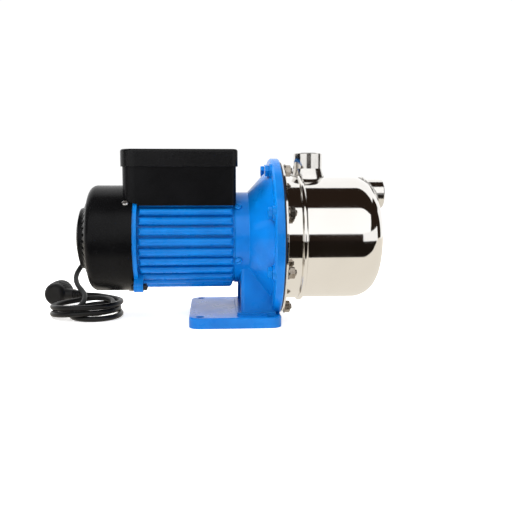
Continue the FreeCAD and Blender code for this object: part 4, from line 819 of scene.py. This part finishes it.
def setPortThreads(sizes):
    mouths = [((sizes["dischargeX"], 0, sizes["dischargeTop"] - sizes["start"]), (0, 0, 1), 0),
              ((sizes["suctionX"] - sizes["start"], 0, sizes["suctionZ"]), (1, 0, 0), 90)]
    setPieces("portThreads", innerThread(sizes), mouths, "port_stainless")


weldSizes = {"ring": 19.9, "drop": 2.0, "rings": 8, "steps": 12, "count": 76, "sink": 0.2, "twist": 37,
             "uneven": 0.08, "above": 215, "before": 200}


# A ring of rays falls on the pump body from outside, and each leaves one drop where it lands
def weldSpots(middle, first, second, down, sizes):
    body = frame["nodes"]["pump_body"]
    spots = []
    for index in range(sizes["count"]):
        turn = 2 * math.pi * index / sizes["count"]
        aside = math.cos(turn) * Vector(first) + math.sin(turn) * Vector(second)
        hit, place, normal, face = body.ray_cast((Vector(middle) + sizes["ring"] * aside) * mm, Vector(down))
        if hit:
            place = place / mm - Vector(normal) * sizes["sink"]
            spots.append((tuple(place), tuple(normal), sizes["twist"] * index % 360))
    return spots


def setWelds(ports, sizes):
    above = (ports["dischargeX"], 0, sizes["above"])
    before = (sizes["before"], 0, ports["suctionZ"])
    spots = weldSpots(above, (1, 0, 0), (0, 1, 0), (0, 0, -1), sizes)
    spots += weldSpots(before, (0, 1, 0), (0, 0, 1), (-1, 0, 0), sizes)
    setPieces("weldBeads", weldDrop(sizes), spots, "port_stainless", uneven=sizes["uneven"])


reliefSizes = {"ring": 4.6, "thick": 0.55, "sides": 8, "steps": 28, "start": 73.0, "step": 2.6, "count": 6,
               "x": -104.0, "z": 172.0}


def setReliefRings(sizes):
    spots = [((sizes["x"], sizes["start"] + sizes["step"] * index, sizes["z"]), (0, 1, 0), 0)
             for index in range(sizes["count"])]
    setPieces("reliefRings", reliefRing(sizes), spots, "black_rubber")


gripSizes = {"count": 28, "width": 1.9, "proud": 0.9, "root": 1.0, "shoulder": 0.6,
             "middle": (-250.48, 78.03, 17.5), "facing": (0.2775, 0.9607, 0.0),
             "bare": (60, 82),  # the side that lies on the floor, in degrees
             "ends": [(10.0, 16.15, 0.05), (11.5, 16.25, 1.0), (24.5, 17.1, 1.0), (26.5, 17.3, 0.05)]}


def setPlugGrips(sizes):
    first, last = sizes["bare"]
    turns = [360 * index / sizes["count"] for index in range(sizes["count"])]
    spots = [(sizes["middle"], sizes["facing"], turn) for turn in turns if not first < turn < last]
    setPieces("plugGrips", gripRidge(sizes), spots, "plug_rubber")


setFlangeBolts(flangeSizes)
setEarBolts(earSizes)
setPortThreads(portSizes)
setWelds(portSizes, weldSizes)
setReliefRings(reliefSizes)
setPlugGrips(gripSizes)
print("fine pieces set")


# Floor, the cards that the metal mirrors, and the lights, in metres
studioSizes = {
    "floor": 3.0,
    "floorLevel": -0.0002,
    "floorGlow": 0.58,
    "air": 0.5,
    "mirrorAir": (0.021, 0.013, 0.009),
    "seenAir": 1.05,
}

# Cards that only reflections see: half their width, and the front and back edges as (y, z)
cardSettings = {
    "darkFront": {"half": 3, "edges": [(-0.20, 0.0006), (-3.2, 0.0006)], "colour": (0.010, 0.007, 0.005),
                  "power": 1.0},
    "warmFloor": {"half": 3, "edges": [(-0.20, 0.0006), (1.5, 0.0006)], "colour": (0.88, 0.83, 0.74),
                  "power": 1.0},
    "frontSoftbox": {"half": 1.7, "edges": [(-1.4, 0.33), (-0.72, 1.25)], "colour": (1.0, 1.0, 1.0),
                     "power": 1.25},
    "backCards": {"half": 2.5, "edges": [(1.6, 0.0), (1.4, 1.8), (0.55, 1.85)], "colour": (1.0, 1.0, 1.0),
                  "power": 1.15},
}

# Curved screens round the pump, from one angle to another, with the front at zero degrees
screenSettings = {"reach": 1.35, "foot": 0.02, "power": 1.1, "colour": (1.0, 1.0, 1.0), "steps": 8}
screenSpans = {
    "leftScreen": {"first": -72, "last": -11, "top": 0.34},
    "rightScreen": {"first": 24, "last": 88, "top": 0.34},
    "leftBackScreen": {"first": -90, "last": -160, "top": 0.5},
    "rightBackScreen": {"first": 110, "last": 160, "top": 0.5},
}

lightSettings = {
    "keyLight": {"place": (-0.35, -1.1, 1.35), "aim": (0.0, 0.0, 0.1), "size": (1.2, 0.8), "power": 11},
    "topLight": {"place": (0.1, 0.1, 1.6), "aim": (0.0, 0.0, 0.0), "size": (1.6, 1.2), "power": 7},
    "leftLight": {"place": (-0.75, 0.0, 1.0), "aim": (0.0, 0.0, 0.12), "size": (0.4, 0.4), "power": 11},
    "rimLight": {"place": (0.3, 1.2, 0.9), "aim": (0.0, 0.0, 0.1), "size": (1.4, 0.7), "power": 6},
}


def emissive(name, colour, power):
    finish = bpy.data.materials.new(name)
    finish.use_nodes = True
    tree = finish.node_tree
    tree.nodes.clear()
    light = tree.nodes.new("ShaderNodeEmission")
    light.inputs["Color"].default_value = (*colour, 1.0)
    light.inputs["Strength"].default_value = power
    out = tree.nodes.new("ShaderNodeOutputMaterial")
    tree.links.new(light.outputs[0], out.inputs["Surface"])
    return finish


def card(name, corners, finish, glossyOnly=True):
    mesh = bpy.data.meshes.new(name)
    faces = [(step, step + 1, step + 3, step + 2) for step in range(0, len(corners) - 2, 2)]
    mesh.from_pydata(corners, [], faces)
    mesh.materials.append(finish)
    made = bpy.data.objects.new(name, mesh)
    bpy.context.collection.objects.link(made)
    if glossyOnly:
        made.visible_camera = False
        made.visible_diffuse = False
        made.visible_shadow = False
        made.visible_transmission = False


def strip(half, edges):
    return [(side * half, y, z) for y, z in edges for side in (-1, 1)]


def screen(settings, span):
    corners = []
    for step in range(settings["steps"] + 1):
        turn = math.radians(span["first"] + (span["last"] - span["first"]) * step / settings["steps"])
        x, y = settings["reach"] * math.sin(turn), -settings["reach"] * math.cos(turn)
        corners += [(x, y, z) for z in (settings["foot"], span["top"])]
    return corners


def makeFloor(sizes):
    values = {"Roughness": 0.5, "Specular IOR Level": 0.2, "Emission Color": (1, 1, 1, 1),
              "Emission Strength": sizes["floorGlow"]}
    finish = startFinish("paleFloor", values)
    tone = objectNoise(finish, 3.0)
    colour = mixColour(finish, spread(finish, tone, 0.0, 1.0), (0.88, 0.88, 0.885), (0.9, 0.9, 0.905))
    join(finish, colour, shaderOf(finish).inputs["Base Color"])
    half, level = sizes["floor"] / 2, sizes["floorLevel"]
    card("floor", strip(half, [(-half, level), (half, level)]), finish, glossyOnly=False)


# The camera sees white air, metal mirrors near black air, and everything else is lit by soft air
def worldLight(sizes):
    world = bpy.data.worlds.new("studioAir")
    bpy.context.scene.world = world
    world.use_nodes = True
    tree = world.node_tree
    ray = tree.nodes.new("ShaderNodeLightPath")
    mirrored, seen = tree.nodes.new("ShaderNodeMix"), tree.nodes.new("ShaderNodeMix")
    mirrored.data_type, seen.data_type = "RGBA", "RGBA"
    mirrored.inputs[6].default_value = (*[sizes["air"]] * 3, 1.0)
    mirrored.inputs[7].default_value = (*sizes["mirrorAir"], 1.0)
    seen.inputs[7].default_value = (*[sizes["seenAir"]] * 3, 1.0)
    tree.links.new(ray.outputs["Is Glossy Ray"], mirrored.inputs[0])
    tree.links.new(ray.outputs["Is Camera Ray"], seen.inputs[0])
    tree.links.new(mirrored.outputs[2], seen.inputs[6])
    tree.links.new(seen.outputs[2], tree.nodes["Background"].inputs["Color"])


def areaLight(name, settings):
    data = bpy.data.lights.new(name, "AREA")
    data.shape = "RECTANGLE"
    data.size, data.size_y = settings["size"]
    data.energy = settings["power"]
    light = bpy.data.objects.new(name, data)
    light.location = settings["place"]
    way = Vector(settings["aim"]) - Vector(settings["place"])
    light.rotation_euler = way.to_track_quat("-Z", "Y").to_euler()
    bpy.context.collection.objects.link(light)
    light.visible_glossy = False


def makeStudio():
    makeFloor(studioSizes)
    worldLight(studioSizes)
    for name, settings in cardSettings.items():
        finish = emissive(name + "Glow", settings["colour"], settings["power"])
        card(name, strip(settings["half"], settings["edges"]), finish)
    glow = emissive("screenGlow", screenSettings["colour"], screenSettings["power"])
    for name, span in screenSpans.items():
        card(name, screen(screenSettings, span), glow)
    for name, settings in lightSettings.items():
        areaLight(name, settings)


makeStudio()
print("studio set")
